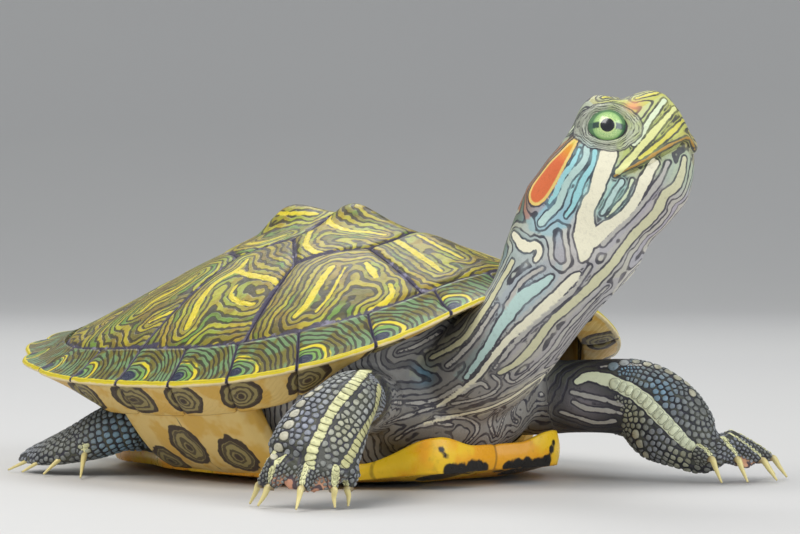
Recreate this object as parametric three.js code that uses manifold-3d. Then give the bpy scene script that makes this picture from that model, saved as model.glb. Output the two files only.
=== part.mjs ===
// A young red-eared slider turtle: shell plates, plastron, body, limbs, claws and eyes.
// Millimetres, +Z up. The turtle faces -Y, and its left side is +X.
import * as THREE from 'three';
import { mergeVertices } from 'three/addons/utils/BufferGeometryUtils.js';
import Module from 'manifold-3d';

const wasm = await Module();
wasm.setup();

// ---------- driving dimensions ----------
const GAP = 0.3; // clear space between neighbouring pieces
const SHELL = {
  halfLength: 40,
  halfWidth: 33.8,
  rearFlare: 0.05, // how much wider the rear half is
  squareFront: 2.85, // exponents of the plan oval: 2 is an ellipse, and more is squarer
  squareRear: 2.4,
  domeHeight: 33, // crown of the dome above the floor, without the keel
  roundFront: 2, // how the dome falls from its crown: 2 is round, and near 1 is like a roof
  roundRear: 1.6,
  powerFront: 0.95, // under 1 the dome is full at the rim, and over 1 it flares out
  powerRear: 1.4,
  plate: 2.2, // thickness of the plates
  lip: 1.0, // thickness of the rim
  cusp: 1.1, // how far the rear marginals stick out between their seams
};
const RIM = { mean: 16.1, frontRear: 0.8, endsUp: 3.1, neckArch: 5.0, neckArchAngle: 22 };
const KEEL = { height: 3.7, halfWidth: 2.9, peak: 0.73 }; // peak: how far back along each vertebral
const MARGINALS = 12; // on each side, behind the small nuchal plate
const NUCHAL_HALF = 2.8;
const MARGINAL_LINE = 0.868; // the inner edge of the marginals, as a share of the plan oval
const VERTEBRAL_SEAMS = [-42, -18.7, -3.8, 10.2, 23, 42]; // y of the seams between the vertebrals
const VERTEBRAL_WAIST = 8; // half width at a seam
const VERTEBRAL_CORNERS = [15, 12.6, 12]; // half width at the side corners of the middle three
const PLASTRON = {
  front: -34.5,
  rear: 33,
  lip: 5.2,
  lipCorner: 1.3,
  thickness: 2.2,
  bridgeFront: -18,
  bridgeRear: 5,
  edge: 21.5,
};
const HEAD = { at: [3.2, -50.6, 42], yaw: 28, pitch: 26 }; // degrees to the left, and up
const EYE = { radius: 3.05, forward: 1.9, side: 3.45, up: 1.95 };
const CLAW = { base: 0.8, tip: 0.16 };

// ---------- colours ----------
const skin = (colour, roughness = 0.55) =>
  new THREE.MeshStandardMaterial({ color: colour, roughness, metalness: 0 });
const OLIVE = 0x6b6a24;
const DARK_OLIVE = 0x4f4c20;
const MARGINAL_GREEN = 0x7d8a2b;
const YELLOW = 0xd9a01c;
const HEAD_GREEN = 0x9fa97c;
const NECK_GREY = 0x8f9a86;
const LIMB_GREY = 0x4c5148;
const HORN = 0xb9a56b;
const IRIS = 0x9bc455;

// ---------- helpers ----------
const RAD = Math.PI / 180;
const v3 = (p) => new THREE.Vector3(...p);
const lerp = THREE.MathUtils.lerp;
const power = (value, exponent) => Math.sign(value) * Math.abs(value) ** exponent;
const smooth = (from, to, value) => THREE.MathUtils.smoothstep((value - from) / (to - from), 0, 1);

function geometryOf(positions, index) {
  const geometry = new THREE.BufferGeometry();
  geometry.setAttribute('position', new THREE.Float32BufferAttribute(positions.flat(), 3));
  geometry.setIndex(index);
  return geometry;
}

// A closed geometry as a solid, turned the right way out if its faces point inward.
function solidOf(source) {
  let geometry = source.clone();
  geometry.deleteAttribute('normal');
  geometry.deleteAttribute('uv');
  geometry = mergeVertices(geometry, 1e-4);
  const points = geometry.attributes.position.array;
  const triangles = Uint32Array.from(geometry.index.array);
  let volume = 0;
  const [a, b, c] = [new THREE.Vector3(), new THREE.Vector3(), new THREE.Vector3()];
  for (let i = 0; i < triangles.length; i += 3) {
    a.fromArray(points, 3 * triangles[i]);
    b.fromArray(points, 3 * triangles[i + 1]);
    c.fromArray(points, 3 * triangles[i + 2]);
    volume += a.dot(b.cross(c));
  }
  if (volume < 0) {
    for (let i = 0; i < triangles.length; i += 3) {
      [triangles[i], triangles[i + 1]] = [triangles[i + 1], triangles[i]];
    }
  }
  const mesh = new wasm.Mesh({ numProp: 3, vertProperties: Float32Array.from(points), triVerts: triangles });
  return new wasm.Manifold(mesh);
}

function meshOf(name, solid, material) {
  const { vertProperties, triVerts } = solid.getMesh();
  const geometry = new THREE.BufferGeometry();
  geometry.setAttribute('position', new THREE.BufferAttribute(vertProperties, 3));
  geometry.setIndex(new THREE.BufferAttribute(triVerts, 1));
  const mesh = new THREE.Mesh(geometry, material);
  mesh.name = name;
  return mesh;
}

// Joins closed rings of points, each with the same count, into one closed skin.
function ringsToSolid(rings) {
  const count = rings[0].length;
  const points = rings.flat();
  const index = [];
  for (let r = 0; r + 1 < rings.length; r++) {
    for (let i = 0; i < count; i++) {
      const j = (i + 1) % count;
      const [p, q, s, t] = [r * count + i, r * count + j, (r + 1) * count + i, (r + 1) * count + j];
      index.push(p, q, t, p, t, s);
    }
  }
  const centre = (ring) => ring.reduce((sum, p) => sum.map((v, k) => v + p[k] / count), [0, 0, 0]);
  const first = points.push(centre(rings[0])) - 1;
  const last = points.push(centre(rings[rings.length - 1])) - 1;
  const offset = (rings.length - 1) * count;
  for (let i = 0; i < count; i++) {
    const j = (i + 1) % count;
    index.push(first, j, i, last, offset + i, offset + j);
  }
  return solidOf(geometryOf(points, index));
}

// A limb-like solid: oval sections strung along a smooth line through the stations.
// A station is { at, side, wide, up, down }: side is the direction of the section's width.
function loft(stations, { from = 0, to = 1, sides = 10, steps = 8, grow = 0, trim = 0 } = {}) {
  const line = new THREE.CatmullRomCurve3(stations.map((s) => v3(s.at)), false, 'catmullrom', 0.5);
  const sizes = new THREE.CatmullRomCurve3(
    stations.map((s) => new THREE.Vector3(s.wide, s.up, s.down ?? s.up)), false, 'catmullrom', 0.5);
  const rings = [];
  for (let k = 0; k <= steps; k++) {
    const t = lerp(from, to, k / steps);
    const at = line.getPoint(t);
    const along = line.getTangent(t);
    if (k === 0) at.addScaledVector(along, trim);
    if (k === steps) at.addScaledVector(along, -trim);
    const place = t * (stations.length - 1);
    const i = Math.min(Math.floor(place), stations.length - 2);
    const side = v3(stations[i].side).lerp(v3(stations[i + 1].side), place - i);
    side.addScaledVector(along, -side.dot(along)).normalize();
    const up = new THREE.Vector3().crossVectors(along, side);
    const size = sizes.getPoint(t).addScalar(grow);
    rings.push(Array.from({ length: sides }, (_, n) => {
      const angle = (2 * Math.PI * n) / sides;
      const lift = Math.sin(angle) * (Math.sin(angle) > 0 ? size.y : size.z);
      return at.clone().addScaledVector(side, Math.cos(angle) * size.x).addScaledVector(up, lift).toArray();
    }));
  }
  return ringsToSolid(rings);
}

// An upright prism over a plan outline.
function prism(outline, bottom, top) {
  const shape = new THREE.Shape(outline.map(([x, y]) => new THREE.Vector2(x, y)));
  const geometry = new THREE.ExtrudeGeometry(shape, { depth: top - bottom, bevelEnabled: false, steps: 1 });
  return solidOf(geometry.translate(0, 0, bottom));
}

// Moves every edge of a plan outline inward by a distance.
function inset(outline, distance) {
  const area = outline.reduce((sum, [x, y], i) => {
    const [u, v] = outline[(i + 1) % outline.length];
    return sum + x * v - u * y;
  }, 0);
  const inward = area > 0 ? 1 : -1;
  const edges = outline.map(([x, y], i) => {
    const [u, v] = outline[(i + 1) % outline.length];
    const size = Math.hypot(u - x, v - y);
    const normal = [(-(v - y) / size) * inward, ((u - x) / size) * inward];
    return { normal, reach: normal[0] * x + normal[1] * y + distance };
  });
  return edges.map((edge, i) => {
    const before = edges[(i + edges.length - 1) % edges.length];
    const det = before.normal[0] * edge.normal[1] - before.normal[1] * edge.normal[0];
    return [
      (before.reach * edge.normal[1] - edge.reach * before.normal[1]) / det,
      (edge.reach * before.normal[0] - before.reach * edge.normal[0]) / det,
    ];
  });
}

function boxSolid(size, at) {
  return solidOf(new THREE.BoxGeometry(...size).translate(...at));
}
const BELOW_FLOOR = boxSolid([200, 200, 20], [0, 0, -10]);

// ---------- the shell's plan and dome ----------
// The plan angle runs from 0 at the front to +-180 degrees at the rear; positive is the right side.
const squareness = (y) => (y < 0 ? SHELL.squareFront : SHELL.squareRear);

function planPoint(angle, share = 1) {
  const s = squareness(-Math.cos(angle));
  const y = -share * SHELL.halfLength * power(Math.cos(angle), 2 / s);
  const across = -share * SHELL.halfWidth * power(Math.sin(angle), 2 / s);
  return [across * (1 + (SHELL.rearFlare * y) / SHELL.halfLength), y];
}

function planShare(x, y) {
  const across = x / (1 + (SHELL.rearFlare * y) / SHELL.halfLength) / SHELL.halfWidth;
  const along = y / SHELL.halfLength;
  const s = squareness(y);
  return {
    share: (Math.abs(across) ** s + Math.abs(along) ** s) ** (1 / s),
    angle: Math.atan2(power(-across, s / 2), power(-along, s / 2)),
  };
}

function halfWidthAt(y, share) {
  const s = squareness(y);
  const along = Math.abs(y) / (share * SHELL.halfLength);
  const across = share * SHELL.halfWidth * (1 - along ** s) ** (1 / s);
  return across * (1 + (SHELL.rearFlare * y) / SHELL.halfLength);
}

function rimHeight(angle) {
  const arch = RIM.neckArch * Math.exp(-((Math.abs(angle) / (RIM.neckArchAngle * RAD)) ** 1.6));
  return RIM.mean + RIM.frontRear * Math.cos(angle) + RIM.endsUp * Math.cos(2 * angle) + arch;
}

// The keel rises toward the rear of each vertebral and dips at the seam behind it.
function keel(x, y) {
  const next = VERTEBRAL_SEAMS.findIndex((seam) => seam > y);
  const start = VERTEBRAL_SEAMS[Math.max(next - 1, 0)];
  const part = next > 0 ? (y - start) / (VERTEBRAL_SEAMS[next] - start) : 0;
  const knob = 0.5 + 0.5 * Math.sin(Math.PI * Math.min(1, part) ** (Math.log(0.5) / Math.log(KEEL.peak)));
  const middle = Math.exp(-(((y - 2) / 22) ** 2));
  return KEEL.height * knob * middle * Math.exp(-((x / KEEL.halfWidth) ** 2));
}

function domeHeight(x, y) {
  const { share, angle } = planShare(x, y);
  const rim = rimHeight(angle);
  const side = Math.abs(angle) / RAD;
  const fall = lerp(SHELL.roundFront, SHELL.roundRear, smooth(30, 100, side));
  const flare = lerp(SHELL.powerFront, SHELL.powerRear, smooth(85, 150, side));
  const rise = (1 - Math.min(share, 0.999) ** fall) ** flare;
  return rim + (SHELL.domeHeight - rim) * rise + keel(x, y);
}

// Plan angles of the marginal seams on one side, by equal lengths along the rim.
function marginalSeams() {
  const steps = 720;
  const angles = Array.from({ length: steps + 1 }, (_, i) => (Math.PI * i) / steps);
  const points = angles.map((a) => planPoint(a));
  const run = [0];
  for (let i = 1; i <= steps; i++) {
    run.push(run[i - 1] + Math.hypot(points[i][0] - points[i - 1][0], points[i][1] - points[i - 1][1]));
  }
  return Array.from({ length: MARGINALS + 1 }, (_, k) => {
    const length = lerp(NUCHAL_HALF, run[steps], k / MARGINALS);
    return angles[run.findIndex((value) => value >= length - 1e-6)];
  });
}
const SEAM_ANGLES = marginalSeams();

// ---------- carapace plates ----------
function domeSlab() {
  const columns = [0, 1.6, 4, 9, 15.5, 22.5, 31];
  const xs = [...columns.slice(1).reverse().map((x) => -x), ...columns];
  const ys = [-36, -31];
  for (let k = 1; k < VERTEBRAL_SEAMS.length; k++) {
    const seamBefore = VERTEBRAL_SEAMS[k - 1];
    if (k > 1) ys.push(seamBefore);
    if (k === 2) ys.push(lerp(seamBefore, VERTEBRAL_SEAMS[k], 0.4));
    ys.push(Math.min(36, lerp(seamBefore, VERTEBRAL_SEAMS[k], KEEL.peak)));
  }
  const points = [];
  for (const drop of [0, SHELL.plate]) {
    for (const y of ys) for (const x of xs) points.push([x, y, domeHeight(x, y) - drop]);
  }
  const at = (layer, row, column) => layer * ys.length * xs.length + row * xs.length + column;
  const index = [];
  for (let r = 0; r + 1 < ys.length; r++) {
    for (let c = 0; c + 1 < xs.length; c++) {
      const [a, b, d, e] = [at(0, r, c), at(0, r, c + 1), at(0, r + 1, c), at(0, r + 1, c + 1)];
      const [f, g, h, i] = [at(1, r, c), at(1, r, c + 1), at(1, r + 1, c), at(1, r + 1, c + 1)];
      index.push(a, b, e, a, e, d, f, i, g, f, h, i);
    }
  }
  const wall = (p, q, r, s) => index.push(p, r, q, q, r, s);
  const [lastRow, lastColumn] = [ys.length - 1, xs.length - 1];
  for (let c = 0; c < lastColumn; c++) {
    wall(at(0, 0, c), at(0, 0, c + 1), at(1, 0, c), at(1, 0, c + 1));
    wall(at(0, lastRow, c + 1), at(0, lastRow, c), at(1, lastRow, c + 1), at(1, lastRow, c));
  }
  for (let r = 0; r < lastRow; r++) {
    wall(at(0, r + 1, 0), at(0, r, 0), at(1, r + 1, 0), at(1, r, 0));
    wall(at(0, r, lastColumn), at(0, r + 1, lastColumn), at(1, r, lastColumn), at(1, r + 1, lastColumn));
  }
  return solidOf(geometryOf(points, index));
}

const mirrored = (outline) => outline.map(([x, y]) => [-x, y]).reverse();
const waist = (k) => [-VERTEBRAL_WAIST, VERTEBRAL_SEAMS[k]];
const corner = (k) => [-VERTEBRAL_CORNERS[k - 1], (VERTEBRAL_SEAMS[k] + VERTEBRAL_SEAMS[k + 1]) / 2 - 1];
const beyondRim = (seam) => planPoint(SEAM_ANGLES[seam], 1.3);
const FRONT_CORNER = [-12, -32];
const REAR_CORNER = [-13, 31];

// Plan outlines of the plates on the right side, before the oval trims them.
function scuteOutlines() {
  const middle = (k) => [waist(k), corner(k), waist(k + 1)];
  const closeUp = (half) => [...half, ...mirrored(half)];
  const first = [beyondRim(1), FRONT_CORNER, waist(1)];
  const last = [waist(4), REAR_CORNER, beyondRim(11)];
  const vertebrals = [first, middle(1), middle(2), middle(3), last].map(closeUp);
  const rim = (seam) => planPoint(SEAM_ANGLES[seam]);
  const costals = [
    [waist(1), FRONT_CORNER, beyondRim(1), beyondRim(2), beyondRim(4), rim(4), corner(1)],
    [corner(1), rim(4), beyondRim(4), beyondRim(6), rim(6), corner(2), waist(2)],
    [corner(2), rim(6), beyondRim(6), beyondRim(8), rim(8), corner(3), waist(3)],
    [corner(3), rim(8), beyondRim(8), beyondRim(9), beyondRim(11), REAR_CORNER, waist(4)],
  ];
  return { vertebrals, costals };
}

function plateMeshes() {
  const turns = Array.from({ length: 48 }, (_, i) => (2 * Math.PI * i) / 48 - Math.PI);
  const ring = turns.map((angle) => planPoint(angle, MARGINAL_LINE));
  const dome = domeSlab().intersect(prism(ring, 0, 60));
  const cut = (outline) => dome.intersect(prism(inset(outline, GAP / 2), 0, 60));
  const { vertebrals, costals } = scuteOutlines();
  const plates = vertebrals.map((outline, k) =>
    meshOf(`vertebral_${k + 1}`, cut(outline), skin(k % 2 ? OLIVE : DARK_OLIVE)));
  costals.forEach((outline, k) => {
    plates.push(meshOf(`costal_right_${k + 1}`, cut(outline), skin(k % 2 ? DARK_OLIVE : OLIVE)));
    plates.push(meshOf(`costal_left_${k + 1}`, cut(mirrored(outline)), skin(k % 2 ? DARK_OLIVE : OLIVE)));
  });
  return plates;
}

// ---------- marginals ----------
// How far the underside of the rim hangs down at its inner edge: most at the bridge.
function undersideDrop(angle) {
  const side = Math.abs(angle) / RAD;
  return 0.8 + 3 * smooth(34, 60, side) * (1 - smooth(98, 116, side));
}

// The rim's cusps, highest in the middle of each rear marginal.
function cuspAt(angle) {
  const side = Math.abs(angle);
  const k = SEAM_ANGLES.findIndex((seam) => seam >= side);
  if (k < 8) return 0;
  const part = (side - SEAM_ANGLES[k - 1]) / (SEAM_ANGLES[k] - SEAM_ANGLES[k - 1]);
  return SHELL.cusp * smooth(7, 10, k) * Math.sin(Math.PI * part ** 1.4);
}

function marginalSection(angle, room = 0) {
  const line = MARGINAL_LINE + 0.009;
  const [x, y] = planPoint(angle, line);
  const [u, v] = planPoint(angle);
  const rim = rimHeight(angle);
  const out = 1 + (cuspAt(angle) + room) / Math.hypot(u, v);
  const lower = rim - SHELL.lip - room;
  return [
    [x, y, domeHeight(x, y) + room],
    [u * out, v * out, rim + room],
    [u * out * 0.992, v * out * 0.992, lower],
    [x, y, Math.min(lower - undersideDrop(angle), domeHeight(x, y) - SHELL.plate - room)],
  ];
}

function marginalBand(name, angles) {
  const clear = (GAP / 2) / SHELL.halfLength;
  const trimmed = angles.slice();
  trimmed[0] += clear;
  trimmed[trimmed.length - 1] -= clear;
  return meshOf(name, ringsToSolid(trimmed.map((a) => marginalSection(a))), skin(MARGINAL_GREEN));
}

// Angles from one marginal seam to another, with so many steps in each marginal.
function between(first, last, parts) {
  const angles = [];
  for (let k = first; k < last; k++) {
    for (let i = 0; i < parts; i++) angles.push(lerp(SEAM_ANGLES[k], SEAM_ANGLES[k + 1], i / parts));
  }
  return [...angles, SEAM_ANGLES[last]];
}
const flip = (angles) => angles.map((a) => -a).reverse();

// The space the front of the rim takes up, with clear room round it.
function frontRimRoom() {
  const half = between(0, 4, 2);
  return ringsToSolid([...flip(half), 0, ...half].map((a) => marginalSection(a, GAP)));
}

function marginalMeshes() {
  const front = between(0, 1, 2);
  const side = between(1, 7, 2);
  const rear = between(7, 12, 3);
  const behind = [...rear, ...flip(rear).slice(1).map((a) => a + 2 * Math.PI)];
  return [
    marginalBand('marginals_front', [...flip(front), 0, ...front]),
    marginalBand('marginals_right', side),
    marginalBand('marginals_left', flip(side)),
    marginalBand('marginals_rear', behind),
  ];
}

// ---------- plastron ----------
// Plan outline of one side, from the middle of the front edge to the middle of the rear edge.
const PLASTRON_SIDE = [
  [0, PLASTRON.front + 0.6],
  [-6, PLASTRON.front + 0.2],
  [-11, PLASTRON.front + 0.8],
  [-14.2, -30.4],
  [-18, -26],
  [-PLASTRON.edge, PLASTRON.bridgeFront],
  [-PLASTRON.edge - 0.5, -7],
  [-PLASTRON.edge, PLASTRON.bridgeRear],
  [-18.5, 13],
  [-17, 21],
  [-12, 29],
  [-6, PLASTRON.rear],
  [0, PLASTRON.rear - 2.5],
];

function plastronOutline(points) {
  const side = new THREE.CatmullRomCurve3(PLASTRON_SIDE.map(([x, y]) => new THREE.Vector3(x, y, 0)));
  const half = side.getSpacedPoints(points).map((p) => [p.x, p.y]);
  return [...half, ...mirrored(half).slice(1, -1)];
}

// The underside is flat in the middle and turns up toward the edge, most at the front.
function plastronUnderside(y, share) {
  const front = smooth(-24, -35, y);
  return (0.9 + 1.0 * front) * smooth(0.62, 1, share) ** 1.5;
}

function plastronTop(x, y, share) {
  const front = smooth(-27, PLASTRON.front, y);
  const lip = PLASTRON.lip + PLASTRON.lipCorner * smooth(4, 10, Math.abs(x)) - PLASTRON.thickness;
  return PLASTRON.thickness + 0.9 * smooth(0.6, 1, share) + (lip - 0.9) * front * smooth(0.6, 0.95, share);
}

function plastronSolid(raise = 0) {
  const outline = plastronOutline(15);
  const shares = [0.64, 1];
  const centre = [0, -1];
  const spread = 1 + raise / 20;
  const ringAt = (share, layer) => outline.map(([px, py]) => {
    const x = lerp(centre[0], px, share * spread);
    const y = lerp(centre[1], py, share * spread);
    const z = layer ? plastronTop(x, y, share) + raise : plastronUnderside(y, share) - raise;
    return [x, y, z];
  });
  const rings = [...shares.map((s) => ringAt(s, 0)), ...shares.slice().reverse().map((s) => ringAt(s, 1))];
  const bridge = (side) => ringsToSolid([-17, -12, -6.5, -1, PLASTRON.bridgeRear].map((y) => {
    const out = halfWidthAt(y, MARGINAL_LINE - 0.008) - raise;
    const profile = [[17, 0.6], [PLASTRON.edge - 0.3, 0.8], [out, 7.9], [out - 1, 9.4], [17, 3.4]];
    return profile.map(([x, z]) => [side * x, y, z + (z > 1 ? raise : -raise)]);
  }));
  return ringsToSolid(rings).add(bridge(1)).add(bridge(-1)).subtract(BELOW_FLOOR);
}

// ---------- body lines: each station is one oval section ----------
const HEAD_TURN = new THREE.Matrix4()
  .makeRotationZ(HEAD.yaw * RAD)
  .multiply(new THREE.Matrix4().makeRotationX(-HEAD.pitch * RAD))
  .setPosition(...HEAD.at);
// Head coordinates: side (+ is left), forward, up.
const inHead = (side, forward, up) => new THREE.Vector3(side, -forward, up).applyMatrix4(HEAD_TURN);

const SIDEWAYS = [1, 0, 0];
const HEAD_SIDE = [Math.cos(HEAD.yaw * RAD), Math.sin(HEAD.yaw * RAD), 0];
const NECK = [
  { at: [0, -22.5, 13], side: SIDEWAYS, wide: 9.5, up: 7, down: 7.5 },
  { at: [-1.2, -31, 15], side: SIDEWAYS, wide: 8.6, up: 5.8, down: 7 },
  { at: [-1.6, -37.3, 18.8], side: SIDEWAYS, wide: 7.9, up: 5.2, down: 6.6 },
  { at: [-1.1, -41.6, 23], side: [0.98, 0.2, 0], wide: 7.2, up: 5.4, down: 6.6 },
  { at: [0, -44.7, 28], side: [0.94, 0.34, 0], wide: 6.8, up: 7.2, down: 7.8 },
  { at: [1.5, -47.6, 32.6], side: HEAD_SIDE, wide: 6.8, up: 8.5 },
  { at: [3, -50.6, 36.7], side: HEAD_SIDE, wide: 6, up: 7.6 },
  { at: [4.3, -53, 39.6], side: HEAD_SIDE, wide: 4.2, up: 6 },
];
const NECK_SPLIT = 0.42;
// Skull and jaws: distance forward, half width, top and bottom.
const SKULL_AXIS = -1.5;
const SKULL = [
  [-11, 4.4, 0.8, -6.5],
  [-8, 6.2, 2.3, -9.5],
  [-4.5, 7.4, 3.7, -11.4],
  [-1.5, 7.3, 5.2, -12.2],
  [1.5, 6.6, 6.2, -12.2],
  [4.2, 5.5, 5.4, -11.2],
  [6.6, 4.5, 4.7, -9.4],
  [8.4, 3.5, 4.1, -7.1],
  [9.6, 2.2, 3, -4.8],
  [10.2, 1, 1.2, -2.4],
].map(([forward, wide, top, bottom]) => ({
  at: inHead(0, forward, SKULL_AXIS).toArray(),
  side: HEAD_SIDE,
  wide,
  up: top - SKULL_AXIS,
  down: SKULL_AXIS - bottom,
}));

// The mouth line and the back of the lower jaw, as (forward, up) in the head's middle plane.
const JAW_CUT = [
  [0.9, -4.2], [5, -4.2], [8.2, -3.8], [8.8, -5.3], [14, -5.3], [14, -20], [-3.5, -20], [-3.5, -9],
];
const NECK_CUT = [[-9, 9], [-7.5, 0], [-4.5, -6], [-1, -10], [6, -14.5], [8, -24], [-40, -24], [-40, 9]];

function headPrism(outline) {
  const flat = prism(outline, -20, 20).getMesh();
  const points = [];
  for (let i = 0; i < flat.vertProperties.length; i += 3) {
    const [forward, up, side] = flat.vertProperties.slice(i, i + 3);
    points.push(inHead(side, forward, up).toArray());
  }
  return solidOf(geometryOf(points, Array.from(flat.triVerts)));
}

const RIGHT_ARM = [
  { at: [-12, -24, 10.5], side: [0.6, -0.6, 0.4], wide: 4.4, up: 4.2 },
  { at: [-21, -31.6, 11.4], side: [0.6, -0.6, 0.5], wide: 4.4, up: 3.8 },
  { at: [-30.2, -39, 11.8], side: [0.72, -0.68, 0.2], wide: 4.2, up: 3.4 },
  { at: [-35, -40.6, 8.8], side: [0.72, -0.69, 0], wide: 5.3, up: 2.9 },
  { at: [-38, -41.6, 5], side: [0.68, -0.73, 0], wide: 5.4, up: 2.3 },
  { at: [-39.4, -41.9, 2.8], side: [0.55, -0.83, 0], wide: 5.4, up: 1.6 },
];
const LEFT_ARM = [
  { at: [12, -24, 10.5], side: [-0.5, -0.6, 0.6], wide: 4.4, up: 4.2 },
  { at: [17, -31.8, 11.4], side: [-0.1, -0.1, 0.98], wide: 4.3, up: 4 },
  { at: [21.4, -38.6, 10.6], side: [0.3, -0.2, 0.9], wide: 4.9, up: 3.8 },
  { at: [22.4, -43.2, 7.2], side: [0.53, -0.49, 0.69], wide: 5.6, up: 3.1 },
  { at: [24, -47.2, 4.3], side: [0.62, -0.2, 0.5], wide: 4.8, up: 2.5 },
  { at: [26.8, -50, 2.9], side: [0.85, 0.4, 0.1], wide: 4.9, up: 1.7 },
];
const RIGHT_LEG = [
  { at: [-9, 15, 9.5], side: [0.3, 0, 0.9], wide: 4.8, up: 4.6 },
  { at: [-15, 10.8, 8.8], side: [0.3, 0, 0.9], wide: 4.4, up: 4.2 },
  { at: [-20.6, 9.6, 7.8], side: [0.4, 0, 0.9], wide: 3.8, up: 3.4 },
  { at: [-24.6, 11.6, 6.4], side: [0.5, 0, 0.86], wide: 3.4, up: 2.8 },
  { at: [-26.6, 15.6, 4.9], side: [0.75, -0.2, 0.62], wide: 4.4, up: 2.4 },
  { at: [-27.5, 20.8, 3.4], side: [0.9, -0.1, 0.42], wide: 4.8, up: 1.8 },
  { at: [-28, 26.8, 2.3], side: [0.95, 0, 0.3], wide: 3.2, up: 1.3 },
];
const mirrorLine = (stations) => stations.map((s) => ({
  ...s,
  at: [-s.at[0], s.at[1], s.at[2]],
  side: [-s.side[0], s.side[1], s.side[2]],
}));
const LEFT_LEG = mirrorLine(RIGHT_LEG);
const TAIL = [
  { at: [0, 28, 10.5], side: SIDEWAYS, wide: 4.4, up: 3.8 },
  { at: [-1.8, 34.5, 9.8], side: SIDEWAYS, wide: 3, up: 2.8 },
  { at: [-4.4, 38.6, 7.8], side: SIDEWAYS, wide: 1.9, up: 1.8 },
  { at: [-6, 40.4, 4.6], side: SIDEWAYS, wide: 0.9, up: 0.9 },
  { at: [-6.6, 41, 2.6], side: SIDEWAYS, wide: 0.4, up: 0.4 },
];

const TAIL_SHAPE = { sides: 8, steps: 6 };

// Where each claw touches the floor, from the inner toe to the outer one, and its knuckle height.
const HIND_ROOT = [-26.6, 16.5, 4];
const HIND_TIPS = [[-33.2, 9.4], [-33.4, 17.2], [-33.2, 22.2], [-32.4, 26.4]];
const across = ([x, ...rest]) => [-x, ...rest];
const DIGITS = {
  forefoot_right: {
    root: [-38.4, -41.6, 3.8],
    tips: [[-35.6, -45.4], [-38, -45.8], [-43, -44.6], [-43.2, -38], [-41.8, -34.9]],
  },
  forefoot_left: {
    root: [26.4, -49.2, 3.8],
    tips: [[21.8, -52.8], [25, -54.4], [30, -55], [35, -52.4], [37, -48.6]],
  },
  hindfoot_right: { root: HIND_ROOT, tips: HIND_TIPS },
  hindfoot_left: { root: across(HIND_ROOT), tips: HIND_TIPS.map(across) },
};

// One toe from inside the palm to its claw, and the claw itself.
function digit(root, tip, share) {
  const start = v3(root);
  const end = new THREE.Vector3(tip[0], tip[1], 0);
  const reach = new THREE.Vector3().subVectors(end, start).setZ(0);
  const knuckle = start.clone().addScaledVector(reach, share).setZ(2.5);
  const hook = start.clone().addScaledVector(reach, 0.5 * (1 + share)).setZ(2.05);
  const sideways = new THREE.Vector3(-reach.y, reach.x, 0).normalize().toArray();
  const toe = [
    { at: root, side: sideways, wide: 1.6, up: 1.6 },
    { at: start.clone().lerp(knuckle, 0.6).setZ(2.7).toArray(), side: sideways, wide: 1.35, up: 1.3 },
    { at: knuckle.toArray(), side: sideways, wide: 1.1, up: 1.05 },
  ];
  const out = knuckle.clone().sub(start).setZ(0).normalize();
  const from = knuckle.clone().addScaledVector(out, GAP + 0.05);
  const claw = [
    { at: from.toArray(), side: sideways, wide: CLAW.base, up: CLAW.base },
    { at: hook.toArray(), side: sideways, wide: CLAW.base * 0.72, up: CLAW.base * 0.72 },
    { at: [tip[0], tip[1], CLAW.tip * 0.8], side: sideways, wide: CLAW.tip, up: CLAW.tip },
  ];
  return {
    toe: loft(toe, { sides: 5, steps: 2 }),
    claw: loft(claw, { sides: 5, steps: 2 }),
    clawRoom: loft(claw, { sides: 5, steps: 2, grow: GAP }),
  };
}

// The paddle of a foot with its toes, and the claws as pieces of their own.
function foot(name, line, from, fan, share) {
  const digits = fan.tips.map((tip) => digit(fan.root, tip, share));
  let paddle = loft(line, { from, to: 1, sides: 10, steps: 4, trim: GAP / 2 });
  for (const { toe } of digits) paddle = paddle.add(toe);
  for (const { clawRoom } of digits) paddle = paddle.subtract(clawRoom);
  const claws = digits.map(({ claw }, k) =>
    meshOf(`claw_${name}_${k + 1}`, claw.subtract(BELOW_FLOOR), skin(HORN, 0.35)));
  return [meshOf(name, paddle.subtract(BELOW_FLOOR), skin(LIMB_GREY)), ...claws];
}

// Each limb in three pieces: upper, lower, and the foot from there to its end.
const ARM_CUTS = { upper: [0, 0.4], lower: [0.4, 0.76], steps: 4 };
const LEG_CUTS = { upper: [0, 0.34], lower: [0.34, 0.58], steps: 3 };

function limbPiece(line, cuts, part, grow = 0) {
  const [from, to] = cuts[part];
  return loft(line, { from, to, sides: 10, steps: cuts.steps, grow, trim: grow ? 0 : GAP / 2 });
}

function limbMeshes() {
  const plastron = plastronSolid(GAP);
  const grey = (name, solid) => meshOf(name, solid, skin(LIMB_GREY));
  const arm = (side, line) => [
    grey(`upper_arm_${side}`, limbPiece(line, ARM_CUTS, 'upper')),
    grey(`forearm_${side}`, limbPiece(line, ARM_CUTS, 'lower')),
    ...foot(`forefoot_${side}`, line, ARM_CUTS.lower[1], DIGITS[`forefoot_${side}`], 0.5),
  ];
  const leg = (side, line) => {
    const shank = limbPiece(line, LEG_CUTS, 'lower').subtract(plastron);
    const thigh = limbPiece(line, LEG_CUTS, 'upper').subtract(limbPiece(line, LEG_CUTS, 'lower', GAP));
    return [
      grey(`thigh_${side}`, thigh.subtract(plastron)),
      grey(`shank_${side}`, shank),
      ...foot(`hindfoot_${side}`, line, LEG_CUTS.lower[1], DIGITS[`hindfoot_${side}`], 0.45),
    ];
  };
  return [
    ...arm('right', RIGHT_ARM),
    ...arm('left', LEFT_ARM),
    ...leg('right', RIGHT_LEG),
    ...leg('left', LEFT_LEG),
  ];
}

// ---------- head, neck, tail and trunk ----------
const NECK_LOWER = { from: 0, to: NECK_SPLIT, sides: 14, steps: 6 };

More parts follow.
